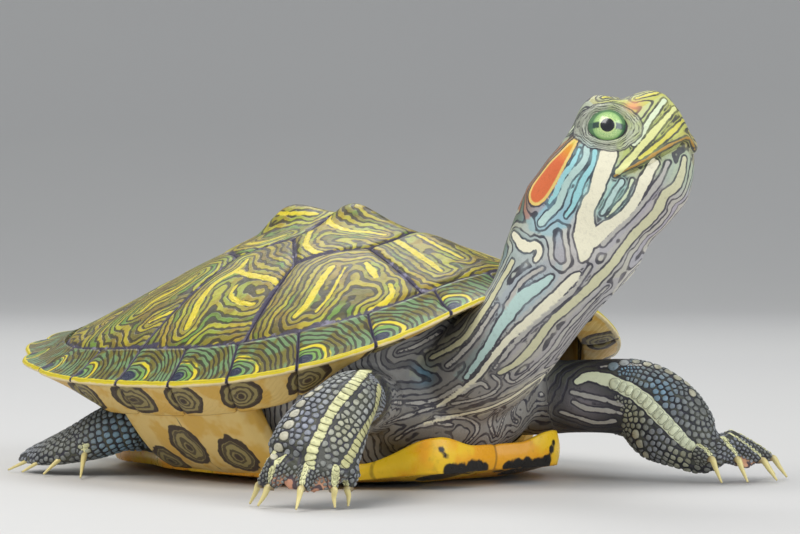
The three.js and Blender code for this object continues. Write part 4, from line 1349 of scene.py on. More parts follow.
# %% Stripe courses
HEAD_MARKS = [
    (RED, [(575, 141, 4), (566, 152, 8.5), (556, 165, 12), (547, 178, 14.5), (540, 188, 15),
        (537, 193, 13)]),
    (PALE_BLUE, [(586.6, 146.5, 3), (585, 160, 3.4), (573, 174, 3.4), (567, 183, 3.4), (562, 195.5, 3.6),
        (557.5, 206, 3.8), (548, 215, 4), (542, 222, 4.2)]),
    (SKY, [(579, 150, 1.6), (573, 163, 2.6), (562, 178, 2.8), (556, 192, 2.8), (549, 203, 2.2)]),
    (SKY, [(595, 152, 2), (592, 166, 2.8), (583, 180, 3), (577, 195, 3), (572, 208, 2.4), (566, 216, 1.8)]),
    (CREAM, [(608.8, 154, 8.5), (600.4, 177, 7.8), (594.3, 195.5, 6.9), (586.6, 208, 7), (585, 220, 8.4),
        (585, 235, 11), (585, 250.6, 7.4), (582, 260, 2.4)]),
    (CREAM, [(654, 163, 4.2), (646, 177, 5.4), (640, 192.5, 4.8), (632.5, 204.7, 4.8), (623.4, 215.4, 5.2),
        (611, 224.6, 6), (602, 232, 7.2), (591, 240, 8.6)]),
    (PALE_BLUE, [(622, 182, 2), (615, 192, 2.4), (607, 206, 2.2), (602, 214, 1.4)]),
    (PALE_GREEN, [(632, 180, 1.2), (627, 193, 1.5), (617, 206, 1.5), (607, 217, 1.1)]),
    (ASH, [(668, 163, 2), (660, 180, 2.4), (648, 196, 2.2), (636, 212, 2.2), (620, 227, 2.2),
        (603, 244, 2.2)]),
    (BONE, [(684.6, 160, 3), (678.5, 183, 4.8), (664.7, 195.5, 4.8), (657, 211, 5.4), (646, 223, 5),
        (634, 235, 4.8), (623, 249, 4.8), (612.6, 264, 4.8), (600, 277, 5), (586.6, 291, 5),
        (570, 305, 4.4), (552.5, 321, 4), (538.5, 339, 4.2), (528, 353, 4.4), (514, 365, 3.6),
        (500, 373, 2)]),
    (CREAM, [(661.6, 238, 3.6), (655.5, 249, 4), (646, 260, 4), (634, 272, 4), (614, 295, 3.6),
        (592, 319, 3.6), (572, 345, 3.4), (552.5, 368, 3), (528, 386, 3), (507, 400, 2.8), (482, 410, 2.4),
        (450, 417, 2), (425, 424, 1.6)]),
    (CREAM, [(513, 234, 3), (521, 244, 5.4), (528, 247.6, 5.6), (536, 245, 3.8), (540, 252, 3),
        (536, 259, 2.6)]),
    (BONE, [(512, 262, 3), (500, 283, 3.4), (488, 304, 3.6), (477, 320, 3.2), (465, 337, 3),
        (451, 348, 2.4), (430, 358, 1.6)]),
    (ASH, [(497, 305, 1.6), (488, 319, 2), (475.5, 338, 2), (463, 352, 2), (447, 366, 1.6)]),
    (PALE_BLUE, [(551, 277, 2.4), (539, 286, 4.8), (524, 296, 6.4), (514, 307, 6.4), (503, 322, 5.4),
        (492, 340, 4), (479, 360, 3), (466, 378, 2)]),
    (ASH, [(543, 268, 1.6), (526, 278, 2), (516, 290, 2), (506, 306, 1.8)]),
    (CREAM, [(579, 273.6, 1.5), (574, 278, 4), (563, 289, 4.6), (549, 303, 5), (535, 316, 4.4),
        (512, 335, 3.6), (491, 360, 3), (475.5, 379, 2.6), (451, 398, 2.2), (436, 407, 1.6)]),
    (ASH, [(590, 266, 1.4), (574, 290, 2), (553, 308, 2), (532, 326, 2), (512, 346, 2), (495, 368, 1.6)]),
    (ASH, [(607, 287, 1.4), (588, 306, 2), (566, 330, 2.4), (552, 350, 2.4), (530, 371, 2), (514, 382, 1.6),
        (507, 379, 1.4), (508, 374, 1.2)]),
    (ASH, [(461.5, 395, 1.4), (473, 386, 2), (482, 383, 2), (487, 388, 1.4)]),
    (ASH, [(452, 404, 1.2), (476, 399, 1.6), (494, 392, 1.6), (500, 383, 1.2), (492, 375, 1)]),
    (ASH, [(435, 417, 1), (461, 418, 1.4), (475, 423, 1.4), (477, 432, 1.2), (467, 443, 1)]),
    (ASH, [(498, 411, 1.2), (490, 420, 1.4), (494, 437, 1.2)]),
    (ASH, [(524, 398, 1.2), (518, 410, 1.4), (528, 425, 1.4), (545, 430, 1)]),
    (ASH, [(460, 386, 1.4), (438, 399, 1.6), (417, 403, 1.4), (384, 402, 1)]),
    (ASH, [(445, 405, 1.2), (428, 409, 1.4), (402, 418, 1.4), (384, 424, 1)]),
    (ASH, [(452, 425, 1.2), (430, 424, 1.4), (410, 430, 1.4), (396, 440, 1)]),
    (ASH, [(445, 440, 1.2), (420, 441, 1.2), (400, 450, 1)]),
    (ASH, [(440, 332, 1.4), (418, 345, 1.6), (398, 352, 1.4)]),
    (PALE_LEMON, [(675, 108, 2.4), (660, 125, 3), (641, 147, 3.4), (619, 172, 3.4)]),
    (PALE_GREEN, [(665, 100, 2), (652, 117, 2.6), (639, 138, 2.6), (634, 144, 2)]),
    (LEMON, [(683, 120, 1.8), (672, 132, 2.4), (655, 147, 2.2), (640, 158, 1.6)]),
    (TAN, [(615, 176, 0.9), (630, 168, 1.1), (645, 160, 1.2), (665, 147.5, 1.2), (681, 140, 1.2),
        (690, 138, 1.2), (694.5, 150, 1.2)]),
    (LEMON, [(637, 98, 1.6), (648, 95, 2.4), (658, 92.5, 2)]),
    (LEMON, [(603, 97.5, 1.4), (614, 95.5, 2), (626, 97.5, 1.4)]),
    (PALE_GREEN, [(583, 113, 1.6), (573, 128, 2), (560, 142, 2)]),
    (ASH, [(520, 190, 1.6), (512, 210, 2), (507, 228, 2), (504, 246, 2)]),
]
ARM_MARKS = [
    (STRAW, [(366, 371, 4.6), (360, 377, 5.4), (338, 403, 5.6), (328, 418.5, 5), (322, 430.5, 5),
        (316, 442, 5), (311, 455, 5), (310, 466, 4.6)]),
    (KHAKI, [(379, 386, 3), (377, 400, 4), (374, 412, 4.2), (368, 424, 4.2), (360, 438, 4.2),
        (352.5, 453, 4.2), (344, 466, 3.6)]),
    (PALE_MINT, [(577, 382, 3), (587.5, 376.5, 4.6), (605, 379, 6.2), (622.5, 387, 7.2), (636, 394, 7.4),
        (646, 402, 7.4), (659, 415, 7.2), (673, 429.5, 6.6), (684, 441, 5.6), (694, 448, 4.2)]),
    (ASH, [(600, 367, 1.2), (620, 364.5, 1.6), (640, 365, 1.6)]),
    (ASH, [(572, 392, 1.5), (587, 396, 2.2), (605, 400, 2.2), (622, 405, 1.8)]),
    (ASH, [(573, 402, 1.5), (587, 408.5, 2.2), (605, 410.5, 2.4), (621, 413, 1.8)]),
    (ASH, [(560, 412, 1.4), (580, 418, 2), (596, 423, 2), (615, 421, 1.5)]),
]


def surface_of(piece):
    """A piece's faces, ready to be hit by lines of sight."""
    faces = [tuple(p.vertices) for p in piece.data.polygons]
    return BVHTree.FromPolygons(mesh_points(piece.data)[0].tolist(), faces)


surface = surface_of(skin)
print("marks:", len(HEAD_MARKS), "on the head and neck,", len(ARM_MARKS), "on the arms")

# %% [markdown]
# ## Casting the marks onto the skin
# A line of sight through each place of a mark is followed until it meets the skin. How large a pixel is at
# that distance turns the mark's half width into millimetres. The toes have a stripe each, which needs no
# casting, since it runs along the back of the toe.

# %% Stripes in space
TOE_STRIPE = 0.5
TOE_STRIPE_POINTS = 8
PIXELS_APART = 4


def cast(pixel):
    """Where the line of sight through a pixel meets the skin, and how many pixels a millimetre is there."""
    hit, _, _, distance = surface.ray_cast(Vector(camera_at), Vector(sight(pixel)))
    return (np.array(hit), FOCAL / distance) if hit else (None, None)


def laid_line(points):
    """A marking's course on the skin: place and half width in millimetres."""
    length = run_along(np.array(points)[:, :2])[-1]
    line = []
    for x, y, half in curve(points, max(8, int(length / PIXELS_APART))):
        place, scale = cast((x, y))
        if place is not None:
            line.append((*place, half / scale))
    return np.array(line)


def toe_stripe(toe):
    """The pale stripe on the back of a toe."""
    centre, _, up, size = sections(toe, np.linspace(0, 1, TOE_STRIPE_POINTS))
    return np.column_stack([centre + up * size[:, :1], np.full(TOE_STRIPE_POINTS, TOE_STRIPE)])


head_lines = [(colour, laid_line(points)) for colour, points in HEAD_MARKS]
arm_lines = [(colour, laid_line(points)) for colour, points in ARM_MARKS]
arm_lines += [(STRAW, toe_stripe(toe)) for toes in TOES.values() for toe, _ in toes]
print("stripes:", len(head_lines), "on the head and neck,", len(arm_lines), "on the legs")

# %% [markdown]
# ## The same marks on both sides
# A slider's two sides carry nearly the same marks. For the far side, each point is folded over to the near
# side before its distance is measured. The fold runs along the nape and a little past the middle of the
# throat, which is as far round as the marks are known.

# %% Folded places
THROAT_FOLD = -112 * RAD
NAPE_FOLD = 90 * RAD


def folded(line, points):
    """Each point of the far half moved to the matching place on the near half of a body line."""
    t = np.linspace(0, 1, 200)
    centre, side, up, size = sections(line, t)
    share, x, z, _ = along_line(line, points, 200)
    index = np.round(share * 199).astype(int)
    angle = np.arctan2(z, -x)
    far = (angle > NAPE_FOLD) | (angle < THROAT_FOLD)
    turned = np.where(angle > 0, angle, angle + 2 * math.pi)
    part = (turned - NAPE_FOLD) / (2 * math.pi + THROAT_FOLD - NAPE_FOLD)
    mapped = NAPE_FOLD + (THROAT_FOLD - NAPE_FOLD) * part

    def oval(angle, index):
        wide, high = size[index, 0], np.where(np.sin(angle) > 0, size[index, 1], size[index, 2])
        return 1 / np.hypot(np.cos(angle) / wide, np.sin(angle) / high)

    radius = np.hypot(x, z) * oval(mapped, index) / oval(angle, index)
    new = (centre[index] - side[index] * (np.cos(mapped) * radius)[:, None]
           + up[index] * (np.sin(mapped) * radius)[:, None])
    return np.where(far[:, None], new, points)


def near_side(points):
    """Points of the head and neck folded over to the near side."""
    head = head_coordinates(points)
    on_skull = ramp(-1, 1.5, head[:, 2] + 9.5 + 0.55 * head[:, 1]) * ramp(-9.5, -6.5, head[:, 1])
    return mix(folded(NECK, points), folded(SKULL_LINE, points), on_skull[:, None])


folded_places = near_side(places)
print("points moved to the near side:", int((np.abs(folded_places - places).max(axis=1) > 0.01).sum()))

# %% [markdown]
# ## Distance to the stripes
# Each point of the skin gets its distance to the edge of the nearest stripe, and the number of that stripe
# for its colour. A third measure rounds the distance off between stripes, so that the fine lines between
# them bend softly where two stripes draw near.

# %% Stripe distances
FLOW_ROUNDING = 0.5
FAR = 30.0


def gap_to(points, line, far):
    """Distance to a line whose last column is its half width, negative inside it and at most far."""
    nearest = np.full(len(points), far)
    for a, b in zip(line[:-1], line[1:]):
        along = b[:-1] - a[:-1]
        t = np.clip((points - a[:-1]) @ along / max(along @ along, 1e-9), 0, 1)
        gap = np.linalg.norm(points - a[:-1] - t[:, None] * along, axis=1) - mix(a[-1], b[-1], t)
        nearest = np.minimum(nearest, gap)
    return nearest


def measure(points, lines, rounding=FLOW_ROUNDING, far=FAR):
    """Distance to the nearest stripe, negative inside it, the stripe's number and a rounded-off distance."""
    best = np.full(len(points), far)
    owner = np.zeros(len(points), int)
    total = np.full(len(points), 1e-30)
    for number, (_, line) in enumerate(lines):
        gap = gap_to(points, line, far)
        total += np.exp(-gap / rounding)
        owner[gap < best] = number
        best = np.minimum(best, gap)
    return best, owner, -rounding * np.log(total)


head_field, head_owner, head_flow = measure(folded_places, head_lines)
arm_field, arm_owner, arm_flow = measure(places, arm_lines)
on_face = head_coordinates(places)[:, 1] > -5
print("farthest from a stripe on the head, mm:", head_field[on_face].max().round(1))

# %% [markdown]
# ## Ground colour
# Between the stripes the colour changes from place to place: yellow-green on the snout, sky blue behind the
# eye, grey on the neck, dark grey on the chest under the front of the shell, which is partly painted shade
# there, and nearly black on the legs. Soft round zones are written by where they are seen, and each point
# takes the mean of the zones near it. The web, the nape and the belly are laid over that.

# %% Zones of ground colour
GROUND = paint(165, 165, 162)
ZONES = [
    (paint(166, 216, 218), (579, 180), 20),
    (paint(140, 184, 205), (548, 205), 20),
    (paint(140, 164, 170), (520, 225), 26),
    (paint(156, 200, 188), (608, 200), 16),
    (paint(168, 184, 96), (645, 130), 26),
    (paint(172, 172, 78), (612, 96), 18),
    (paint(190, 190, 96), (668, 110), 22),
    (paint(168, 186, 164), (680, 170), 16),
    (paint(176, 168, 176), (660, 215), 26),
    (paint(178, 174, 178), (600, 255), 32),
    (paint(160, 172, 180), (520, 290), 24),
    (paint(172, 166, 166), (545, 345), 34),
    (paint(140, 136, 132), (480, 400), 34),
    # The darkest grey zones, on the chest under the front of the shell, are partly the chest's own darker
    # skin and partly painted shade from the shell above.
    (paint(100, 100, 100), (440, 360), 40),
    (paint(122, 118, 112), (430, 425), 34),
]
BLUE_PATCH = (paint(122, 160, 182), (424, 374), 11)
LEG_GROUND = paint(38, 40, 42)
LEG_ZONES = [(paint(126, 120, 126), (584, 402), 20), (paint(112, 114, 112), (372, 392), 8)]
WEB_PINK = paint(196, 140, 110)
NAPE_GREEN = paint(92, 104, 72)
NAPE_STRENGTH = 0.85
GROUND_SHARE = 0.02
ROSE_SPOT = ((633, 106), 8)
BELLY_GROUND = paint(150, 165, 130)


def near_spot(points, pixel, reach):
    """1 at the place that is seen at a pixel and softly down to 0, with the reach in pixels."""
    centre, scale = cast(pixel)
    if centre is None:
        return np.zeros(len(points))
    return np.exp(-((np.linalg.norm(points - centre, axis=1) * scale / reach) ** 2))


def tinted(colours, tint, share):
    return mix(colours, np.array(tint), share[:, None])


def zone_colour(points):
    """The colour between the stripes, blended from the zones round it."""
    weight = np.full(len(points), GROUND_SHARE)
    colour = np.array(GROUND) * weight[:, None]
    for tint, pixel, reach in ZONES:
        share = near_spot(points, pixel, reach)
        weight += share
        colour += share[:, None] * tint
    return colour / weight[:, None]


def nape_share(points):
    """1 along the top of the neck."""
    _, x, z, _ = along_line(NECK, points, 200)
    top = ramp(0.5, 0.95, z / np.maximum(np.hypot(x, z), 1e-6))
    return top * ramp(-24, -30, points[:, 1]) * ramp(3.5, -1, head_coordinates(points)[:, 1])


def web_share(points):
    """1 on the webs between the toes of the forefeet."""
    value = np.zeros(len(points))
    for line in WEBS.values():
        share, _, _, far = along_line(line, points)
        value = np.maximum(value, ramp(1.7, 1.3, far) * ramp(0.25, 0.45, share))
    return value


ground = zone_colour(folded_places)
ground = tinted(ground, BLUE_PATCH[0], near_spot(places, *BLUE_PATCH[1:]))
ground = tinted(ground, LEG_GROUND, leg_share)
for tint, pixel, reach in LEG_ZONES:
    ground = tinted(ground, tint, near_spot(places, pixel, reach))
ground = tinted(ground, BELLY_GROUND, ramp(-12, 4, places[:, 1]) * (1 - leg_share))
ground = tinted(ground, NAPE_GREEN, NAPE_STRENGTH * nape_share(places) * (1 - leg_share))
ground = tinted(ground, WEB_PINK, web_share(places))
print("mean ground colour:", ground.mean(axis=0).round(2))

# %% [markdown]
# ## Stripe colours and the eye's rings
# The legs take their stripes from their own list. The red ear patch goes from yellow at its upper end
# through orange to red. Oval distances round each eye make room for the ringed lid, and a rose spot lies
# over the brow.

# %% Stripe colours
PATCH_TOP = 1.0
PATCH_RED = 3.4
FAR_FROM_EYE = 12.0


def stripe_colours(lines, owner):
    return np.array([colour for colour, _ in lines])[owner]


def patch_colours(points):
    """The ear patch's colour by the distance from its upper end."""
    from_top = np.linalg.norm(points - head_lines[0][1][0, :3], axis=1)
    colours = mix(np.array(LEMON), np.array(ORANGE), ramp(0, PATCH_TOP, from_top)[:, None])
    return tinted(colours, RED, ramp(PATCH_TOP, PATCH_RED, from_top))


def lid_distance(points):
    """Oval distance from the nearer eye's line of sight."""
    head = head_coordinates(points)
    nearest = np.full(len(points), FAR_FROM_EYE)
    for side in (-1, 1):
        _, level, high = eye_frame(head, side)
        oval = np.hypot(level, high * LID["half_long"] / LID["half_high"])
        nearest = np.minimum(nearest, np.where(head[:, 0] * side > 2, oval, FAR_FROM_EYE))
    return nearest


on_leg = leg_share > 0.5
head_light = stripe_colours(head_lines, head_owner)
head_light = np.where((head_owner == 0)[:, None], patch_colours(folded_places), head_light)
skin_measures = {
    "field": np.where(on_leg, arm_field, head_field),
    "flow": np.where(on_leg, arm_flow, head_flow),
    "leg": leg_share,
    "red_patch": gap_to(folded_places, head_lines[0][1], FAR),
    "eye_ring": lid_distance(places),
    "rose": near_spot(folded_places, *ROSE_SPOT),
    "light": np.where(on_leg[:, None], stripe_colours(arm_lines, arm_owner), head_light),
    "ground": ground,
}
print("skin measures:", ", ".join(skin_measures))

# %% [markdown]
# ## Hand over the skin
# The measures go with the skin as attributes, and the trunk, which only shows between the shells, keeps a
# coarse mesh so that the face can have the fine one.

# %% Hand over the skin
FLESH = ["head", "lower_jaw", "neck_upper", "neck_lower", "trunk", "tail"]
FLESH += [f"{part}_{side}" for side in ("right", "left")
          for part in ("upper_arm", "forearm", "forefoot", "thigh", "shank", "hindfoot")]
SKIN_LIMIT = 196000
HIDDEN_SHARE = 0.74

for key, value in skin_measures.items():
    give(skin, key, value)


def triangle_count(piece):
    return sum(len(p.vertices) - 2 for p in piece.data.polygons)


def thin_hidden(piece, limit):
    """Makes the mesh coarser inside the shell, by the share that would bring the whole to the limit."""
    points, _ = mesh_points(piece.data)
    share, _ = plan_share(points[:, 0], points[:, 1])
    hidden = (share < HIDDEN_SHARE) & (points[:, 1] > -20) & (points[:, 2] > 1)
    group = piece.vertex_groups.new(name="hidden")
    group.add(np.flatnonzero(hidden).tolist(), 1, "REPLACE")
    ratio = min(1, limit / triangle_count(piece))
    apply_modifier(piece, "DECIMATE", ratio=ratio, vertex_group="hidden", use_collapse_triangulate=False)
    piece.vertex_groups.clear()


thin_hidden(skin, SKIN_LIMIT)
skin.data.polygons.foreach_set("use_smooth", [True] * len(skin.data.polygons))
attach(skin, "root")
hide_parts(*FLESH)
surface = surface_of(skin)
print("skin triangles:", triangle_count(skin))

# %% [markdown]
# ## Scales of the legs
# The legs are covered with small horny scales, pebble-like on the inner side, wider across the pale
# stripes and large along the outer edge. Each one is a low dome of its own that fills the room between its
# neighbours, so the dark skin shows only as thin lines between them. Seeds are laid in rows round the
# limb, dropped onto the skin, and each scale then reaches halfway to its neighbours in every direction.

# %% Rows of scale seeds
rng = np.random.default_rng(7)
ARM_SCALE = 0.84
LEG_SCALE = 0.92
TOE_SCALE = 0.6
FIRST_WAVE = 1.0
ROW_STEP = 0.86
SCATTER = 0.13
SLIDE = 0.12


def oval_length(wide, high):
    """The length round an oval, from its half widths."""
    return math.pi * (3 * (wide + high) - math.sqrt((3 * wide + high) * (wide + 3 * high)))


def seeds_along(line, full, start=0.0, end=1.0):
    """Seed places in staggered rows round a body line, and their wanted widths, smaller in the first rows."""
    t = np.linspace(start, end, 300)
    run = run_along(sections(line, t)[0])
    on_limb = full > TOE_SCALE
    found = []
    at, row = full * 0.2, 0
    while at < run[-1]:
        row += 1
        size = full * mix(0.55, 1, float(ramp(0, 5, at))) if on_limb else full
        middle, side, up, radii = sections(line, [np.interp(at, run, t)])
        at += size * ROW_STEP
        wide, high = radii[0, 0], (radii[0, 1] + radii[0, 2]) / 2
        count = max(5, round(oval_length(wide, high) / size))
        shifted = np.arange(count) + 0.5 * (row % 2) + rng.uniform(-SCATTER, SCATTER, count)
        angle = shifted / count * 2 * math.pi
        slide = rng.uniform(-SLIDE, SLIDE, count) * size
        if on_limb:
            slide -= FIRST_WAVE * (1 + np.sin(3 * angle + 1)) * ramp(4, 0, at)
        along = np.cross(side, up)
        lift = np.sin(angle) * np.where(np.sin(angle) > 0, radii[0, 1], radii[0, 2])
        spots = middle + side * (np.cos(angle) * wide)[:, None] + up * lift[:, None] - along * slide[:, None]
        found.append(np.column_stack([spots, np.full(count, size)]))
    return np.vstack(found)


print("scale sizes of arm, leg and toe, mm:", ARM_SCALE, LEG_SCALE, TOE_SCALE)

# %% [markdown]
# ## Seeds on the limbs
# The rows are laid round each limb, its toes and its web. Bigger scales along the outer edge and a fringe
# on the far arm are placed by where they are seen, and wide ones run down the middle of each stripe. Where
# seeds crowd each other, the larger one stays.

# %% Scale seeds
SCALE_GAP = 0.16
FAR_FROM_SKIN = 1.5
CROWDED = 0.31
STRIPE_SCALES = [(0, 1.5, 1.0), (1, 1.3, 0.85), (2, 1.55, 1.0)]
STRIPE_COUNT = len(STRIPE_SCALES)
STRIPE_START = 5.0
BIG_SCALES = [(319, 389, 6), (309, 395.5, 6.5), (301, 404, 7.2), (294.5, 414, 7.6), (289, 425, 7.6),
              (284, 436, 7.2), (279, 447, 6.8), (273, 457, 6)]
FRINGE = [(636, 434, 5.5), (640, 444, 5.5), (646, 455, 5.5), (654, 465, 5.5), (665, 470, 5.5),
          (677, 471, 5), (688, 470, 4.5), (614, 366.5, 5.5), (625, 363.5, 5.5), (636, 362, 5.5),
          (647, 364.5, 5.5), (658, 367.5, 5.5), (668, 372, 5.5), (678, 378.5, 5.5), (687, 384, 5.5),
          (692, 393, 5.5), (698, 402, 5), (703, 412, 5)]


def dropped(places, reach):
    """Nearest places and normals on the skin; a place too far from it is left out."""
    kept, spots, normals = [], [], []
    for number, place in enumerate(places):
        spot, normal, _, _ = surface.find_nearest(Vector(place), reach)
        if spot is not None:
            kept.append(number)
            spots.append(spot)
            normals.append(normal)
    return np.array(kept, int), np.array(spots), np.array(normals)


def limb_seeds(line, foot, size, start):
    rows = seeds_along(thin_paddle(line), size, start=start)
    clear = measure(rows[:, :3], arm_lines[:STRIPE_COUNT])[0] > 0.3
    seeds = [rows[clear]]
    seeds += [seeds_along(toe, TOE_SCALE, start=0.2) for toe, _ in TOES[foot]]
    if foot in WEBS:
        seeds.append(seeds_along(WEBS[foot], TOE_SCALE, end=0.4))
    return np.vstack(seeds)


def seen_seeds(marks):
    """Seeds at chosen places, given as seen from the camera with a half width."""
    found = []
    for x, y, half in marks:
        place, scale = cast((x, y))
        if place is not None:
            found.append((*place, 2 * half / scale))
    return np.array(found)


def stripe_seeds(number, width, every):
    """A row of wide scales down the middle of a stripe."""
    line = arm_lines[number][1][:, :3]
    run = run_along(line)
    at = np.arange(every / 2 + (STRIPE_START if number == 2 else 0), run[-1], every)
    spots = np.column_stack([np.interp(at, run, line[:, i]) for i in range(3)])
    return np.column_stack([spots, np.full(len(spots), width)])


def spaced(seeds):
    """Leaves out seeds that crowd an earlier one; larger seeds come first."""
    seeds = seeds[np.argsort(-seeds[:, 3], kind="stable")]
    cell = {}
    kept = []
    for number, (x, y, z, size) in enumerate(seeds):
        key = (int(x // 2), int(y // 2), int(z // 2))
        near = [m for i in (-1, 0, 1) for j in (-1, 0, 1) for k in (-1, 0, 1)
                for m in cell.get((key[0] + i, key[1] + j, key[2] + k), ())]
        if all(np.linalg.norm(seeds[m, :3] - (x, y, z)) > CROWDED * (size + seeds[m, 3]) for m in near):
            kept.append(number)
            cell.setdefault(key, []).append(number)
    return seeds[kept]


print("length round an arm's end, mm:", round(oval_length(*RIGHT_ARM[-1, 6:8]), 1))

# %% [markdown]
# ## Colours of the scales
# Most scales are dark slate grey, with paler pebbles on the inner side of the arms and a painted blue sheen
# on the outer side. A scale that lies on a stripe is pale, and so are the large ones along the arm's outer
# edge.

# %% Scale colours
CHARCOAL = paint(126, 128, 122)
PEBBLE = paint(182, 180, 148)
SLATE = paint(140, 144, 158)
PALE_EDGE = paint(214, 206, 172)
# painted sheen: a blue reflection laid into the colour of the scales in chosen areas
SHEEN_BLUE = paint(130, 168, 192)
TONE_AND_SHEEN_AREAS = [((345, 430), 22, PEBBLE), ((352, 395), 18, PEBBLE), ((657, 392), 18, SHEEN_BLUE),
                ((625, 368), 14, SHEEN_BLUE), ((632, 415), 20, PEBBLE), ((680, 460), 16, PEBBLE),
                ((305, 425), 20, SLATE), ((120, 440), 26, SHEEN_BLUE)]
LARGE_SCALE = 1.3


def scale_tone(spots, size):
    """Each scale's colour: pale on a stripe or the outer edge, else dark with paler areas and a painted blue
    sheen.
    """
    slate = 0.5 + 0.5 * np.sin(spots[:, 0] * 0.5 + 1.3 * np.sin(spots[:, 1] * 0.45))
    colour = tinted(np.array([CHARCOAL] * len(spots)), SLATE, 0.6 * slate)
    # paler pebble and slate tones, and the painted blue sheen, in chosen areas
    for pixel, reach, tint in TONE_AND_SHEEN_AREAS:
        colour = tinted(colour, tint, 0.9 * near_spot(spots, pixel, reach))
    gap, owner, _ = measure(spots, arm_lines)
    colour = mix(colour, stripe_colours(arm_lines, owner), ramp(0.12, -0.08, gap)[:, None])
    colour = tinted(colour, PALE_EDGE, 0.6 * ramp(LARGE_SCALE, LARGE_SCALE + 0.05, size) * (gap > 0.3))
    return colour * rng.uniform(0.78, 1.12, len(spots))[:, None]


print("areas of paler scales:", len(TONE_AND_SHEEN_AREAS))


# %% [markdown]
# ## Scale meshes
# Round each seed a few directions are tried on the skin, and each is cut off halfway to the neighbours, as
# in a froth of bubbles. Where two limits meet, the corner is rounded off. The rim is dropped onto the skin,
# and rings between it and the raised middle make a low dome. One leg's scales become one mesh.

# %% Scale meshes
SCALE_SIDES = 12
SCALE_RISE = 0.17
SCALE_RINGS = [(1.0, -0.12), (0.97, 0.35), (0.82, 0.8), (0.5, 0.97)]
LOOSE_REACH = 0.66
CORNER_POWER = 9
PATCH_SIZE = 0.003
NEIGHBOURS = 12


def halfway(spots, size, first, second, ways):
    """How far each scale reaches in each direction before it meets its neighbours."""
    lookup = KDTree(len(spots))
    for number, spot in enumerate(spots):
        lookup.insert(Vector(spot), number)
    lookup.balance()
    reach = np.empty((len(spots), SCALE_SIDES))
    for number, spot in enumerate(spots):
        near = [m for _, m, _ in lookup.find_n(Vector(spot), NEIGHBOURS + 1) if m != number]
        gap = spots[near] - spot
        flat = np.column_stack([gap @ first[number], gap @ second[number]])
        flat *= (np.linalg.norm(gap, axis=1) / np.maximum(np.linalg.norm(flat, axis=1), 1e-6))[:, None]
        bound = ((flat ** 2).sum(axis=1) + (size[number] / 2) ** 2 - (size[near] / 2) ** 2) / 2
        toward = ways @ flat.T
        limit = np.where(toward > 1e-6, bound / np.maximum(toward, 1e-6), 9)
        limit = np.append(limit, np.full((SCALE_SIDES, 1), size[number] * LOOSE_REACH), axis=1)
        reach[number] = (np.maximum(limit, 0.08) ** -CORNER_POWER).sum(axis=1) ** (-1 / CORNER_POWER)
    return np.maximum(reach - SCALE_GAP / 2, 0.1)


def give_patches(piece, roots, ways):
    """The bake map: each scale is a small patch at its root's place on an unwrap of the leg."""
    flat_rings = np.concatenate([ways * part for part, _ in SCALE_RINGS] + [[[0, 0]]])
    patch = (roots[:, None] + PATCH_SIZE / 2 * flat_rings).reshape(-1, 2)
    layer = piece.data.uv_layers.new(name="OFBake")
    corner = np.empty(len(piece.data.loops), int)
    piece.data.loops.foreach_get("vertex_index", corner)
    layer.data.foreach_set("uv", patch[corner].ravel())


def scale_coat(name, line, seeds):
    """One piece with all the scales of a leg."""
    kept, spots, _ = dropped(seeds[:, :3], FAR_FROM_SKIN)
    seeds = spaced(np.column_stack([spots, seeds[kept, 3]]))
    _, spots, normals = dropped(seeds[:, :3], 1)
    size = seeds[:, 3]
    share, x, z, _ = along_line(line, spots)
    _, side, up, _ = sections(line, share)
    along = np.cross(up, side)
    first = unit(along - normals * (along * normals).sum(axis=1, keepdims=True))
    second = np.cross(normals, first)
    turn = full_turn(SCALE_SIDES)
    ways = np.column_stack([np.cos(turn), np.sin(turn)])
    reach = halfway(spots, size, first, second, ways)
    wide, long = ways[:, 0] * reach, ways[:, 1] * reach
    rim = spots[:, None] + first[:, None] * wide[..., None] + second[:, None] * long[..., None]
    rim_on_skin = dropped(rim.reshape(-1, 3), 4)[1].reshape(rim.shape)
    height = (SCALE_RISE * np.sqrt(size / 0.9))[:, None, None]
    rings = [mix(spots[:, None], rim_on_skin, part) + normals[:, None] * height * lift
             for part, lift in SCALE_RINGS]
    block = np.concatenate(rings + [(spots + normals * height[:, 0])[:, None]], axis=1)
    count = block.shape[1]
    pattern = quads(len(SCALE_RINGS), SCALE_SIDES, wrap=True)
    pattern += fan(list(range(count - 1 - SCALE_SIDES, count - 1)), count - 1)
    faces = [tuple(i + start for i in face) for start in range(0, len(spots) * count, count)
             for face in pattern]
    piece = build(name, block.reshape(-1, 3), faces, outward=False)
    rise = np.concatenate([np.full(SCALE_SIDES, lift) for _, lift in SCALE_RINGS] + [[1.0]])
    give(piece, "rise", np.tile(rise, len(spots)))
    give(piece, "tone", np.repeat(scale_tone(spots, size), count, axis=0))
    angle = np.arctan2(z, x) / (2 * math.pi) % 1
    give_patches(piece, np.column_stack([0.02 + 0.45 * angle, 0.02 + 0.96 * share]), ways)
    return piece


def leg_coat(name, line, foot, size, start, marks=(), stripes=()):
    """A leg's scales: chosen large ones first, then those on its stripes, then rows round the leg."""
    seeds = [seen_seeds(marks)] if marks else []
    seeds += [stripe_seeds(*STRIPE_SCALES[k]) for k in stripes]
    return scale_coat(name, line, np.vstack(seeds + [limb_seeds(line, foot, size, start)]))


coats = [
    leg_coat("scales_arm_right", RIGHT_ARM, "forefoot_right", ARM_SCALE, 0.31, BIG_SCALES, (0, 1)),
    leg_coat("scales_arm_left", LEFT_ARM, "forefoot_left", ARM_SCALE, 0.32, FRINGE, (2,)),
    leg_coat("scales_leg_right", RIGHT_LEG, "hindfoot_right", LEG_SCALE, 0.3),
    leg_coat("scales_leg_left", LEFT_LEG, "hindfoot_left", LEG_SCALE, 0.3),
]
print("scale triangles:", [triangle_count(coat) for coat in coats])

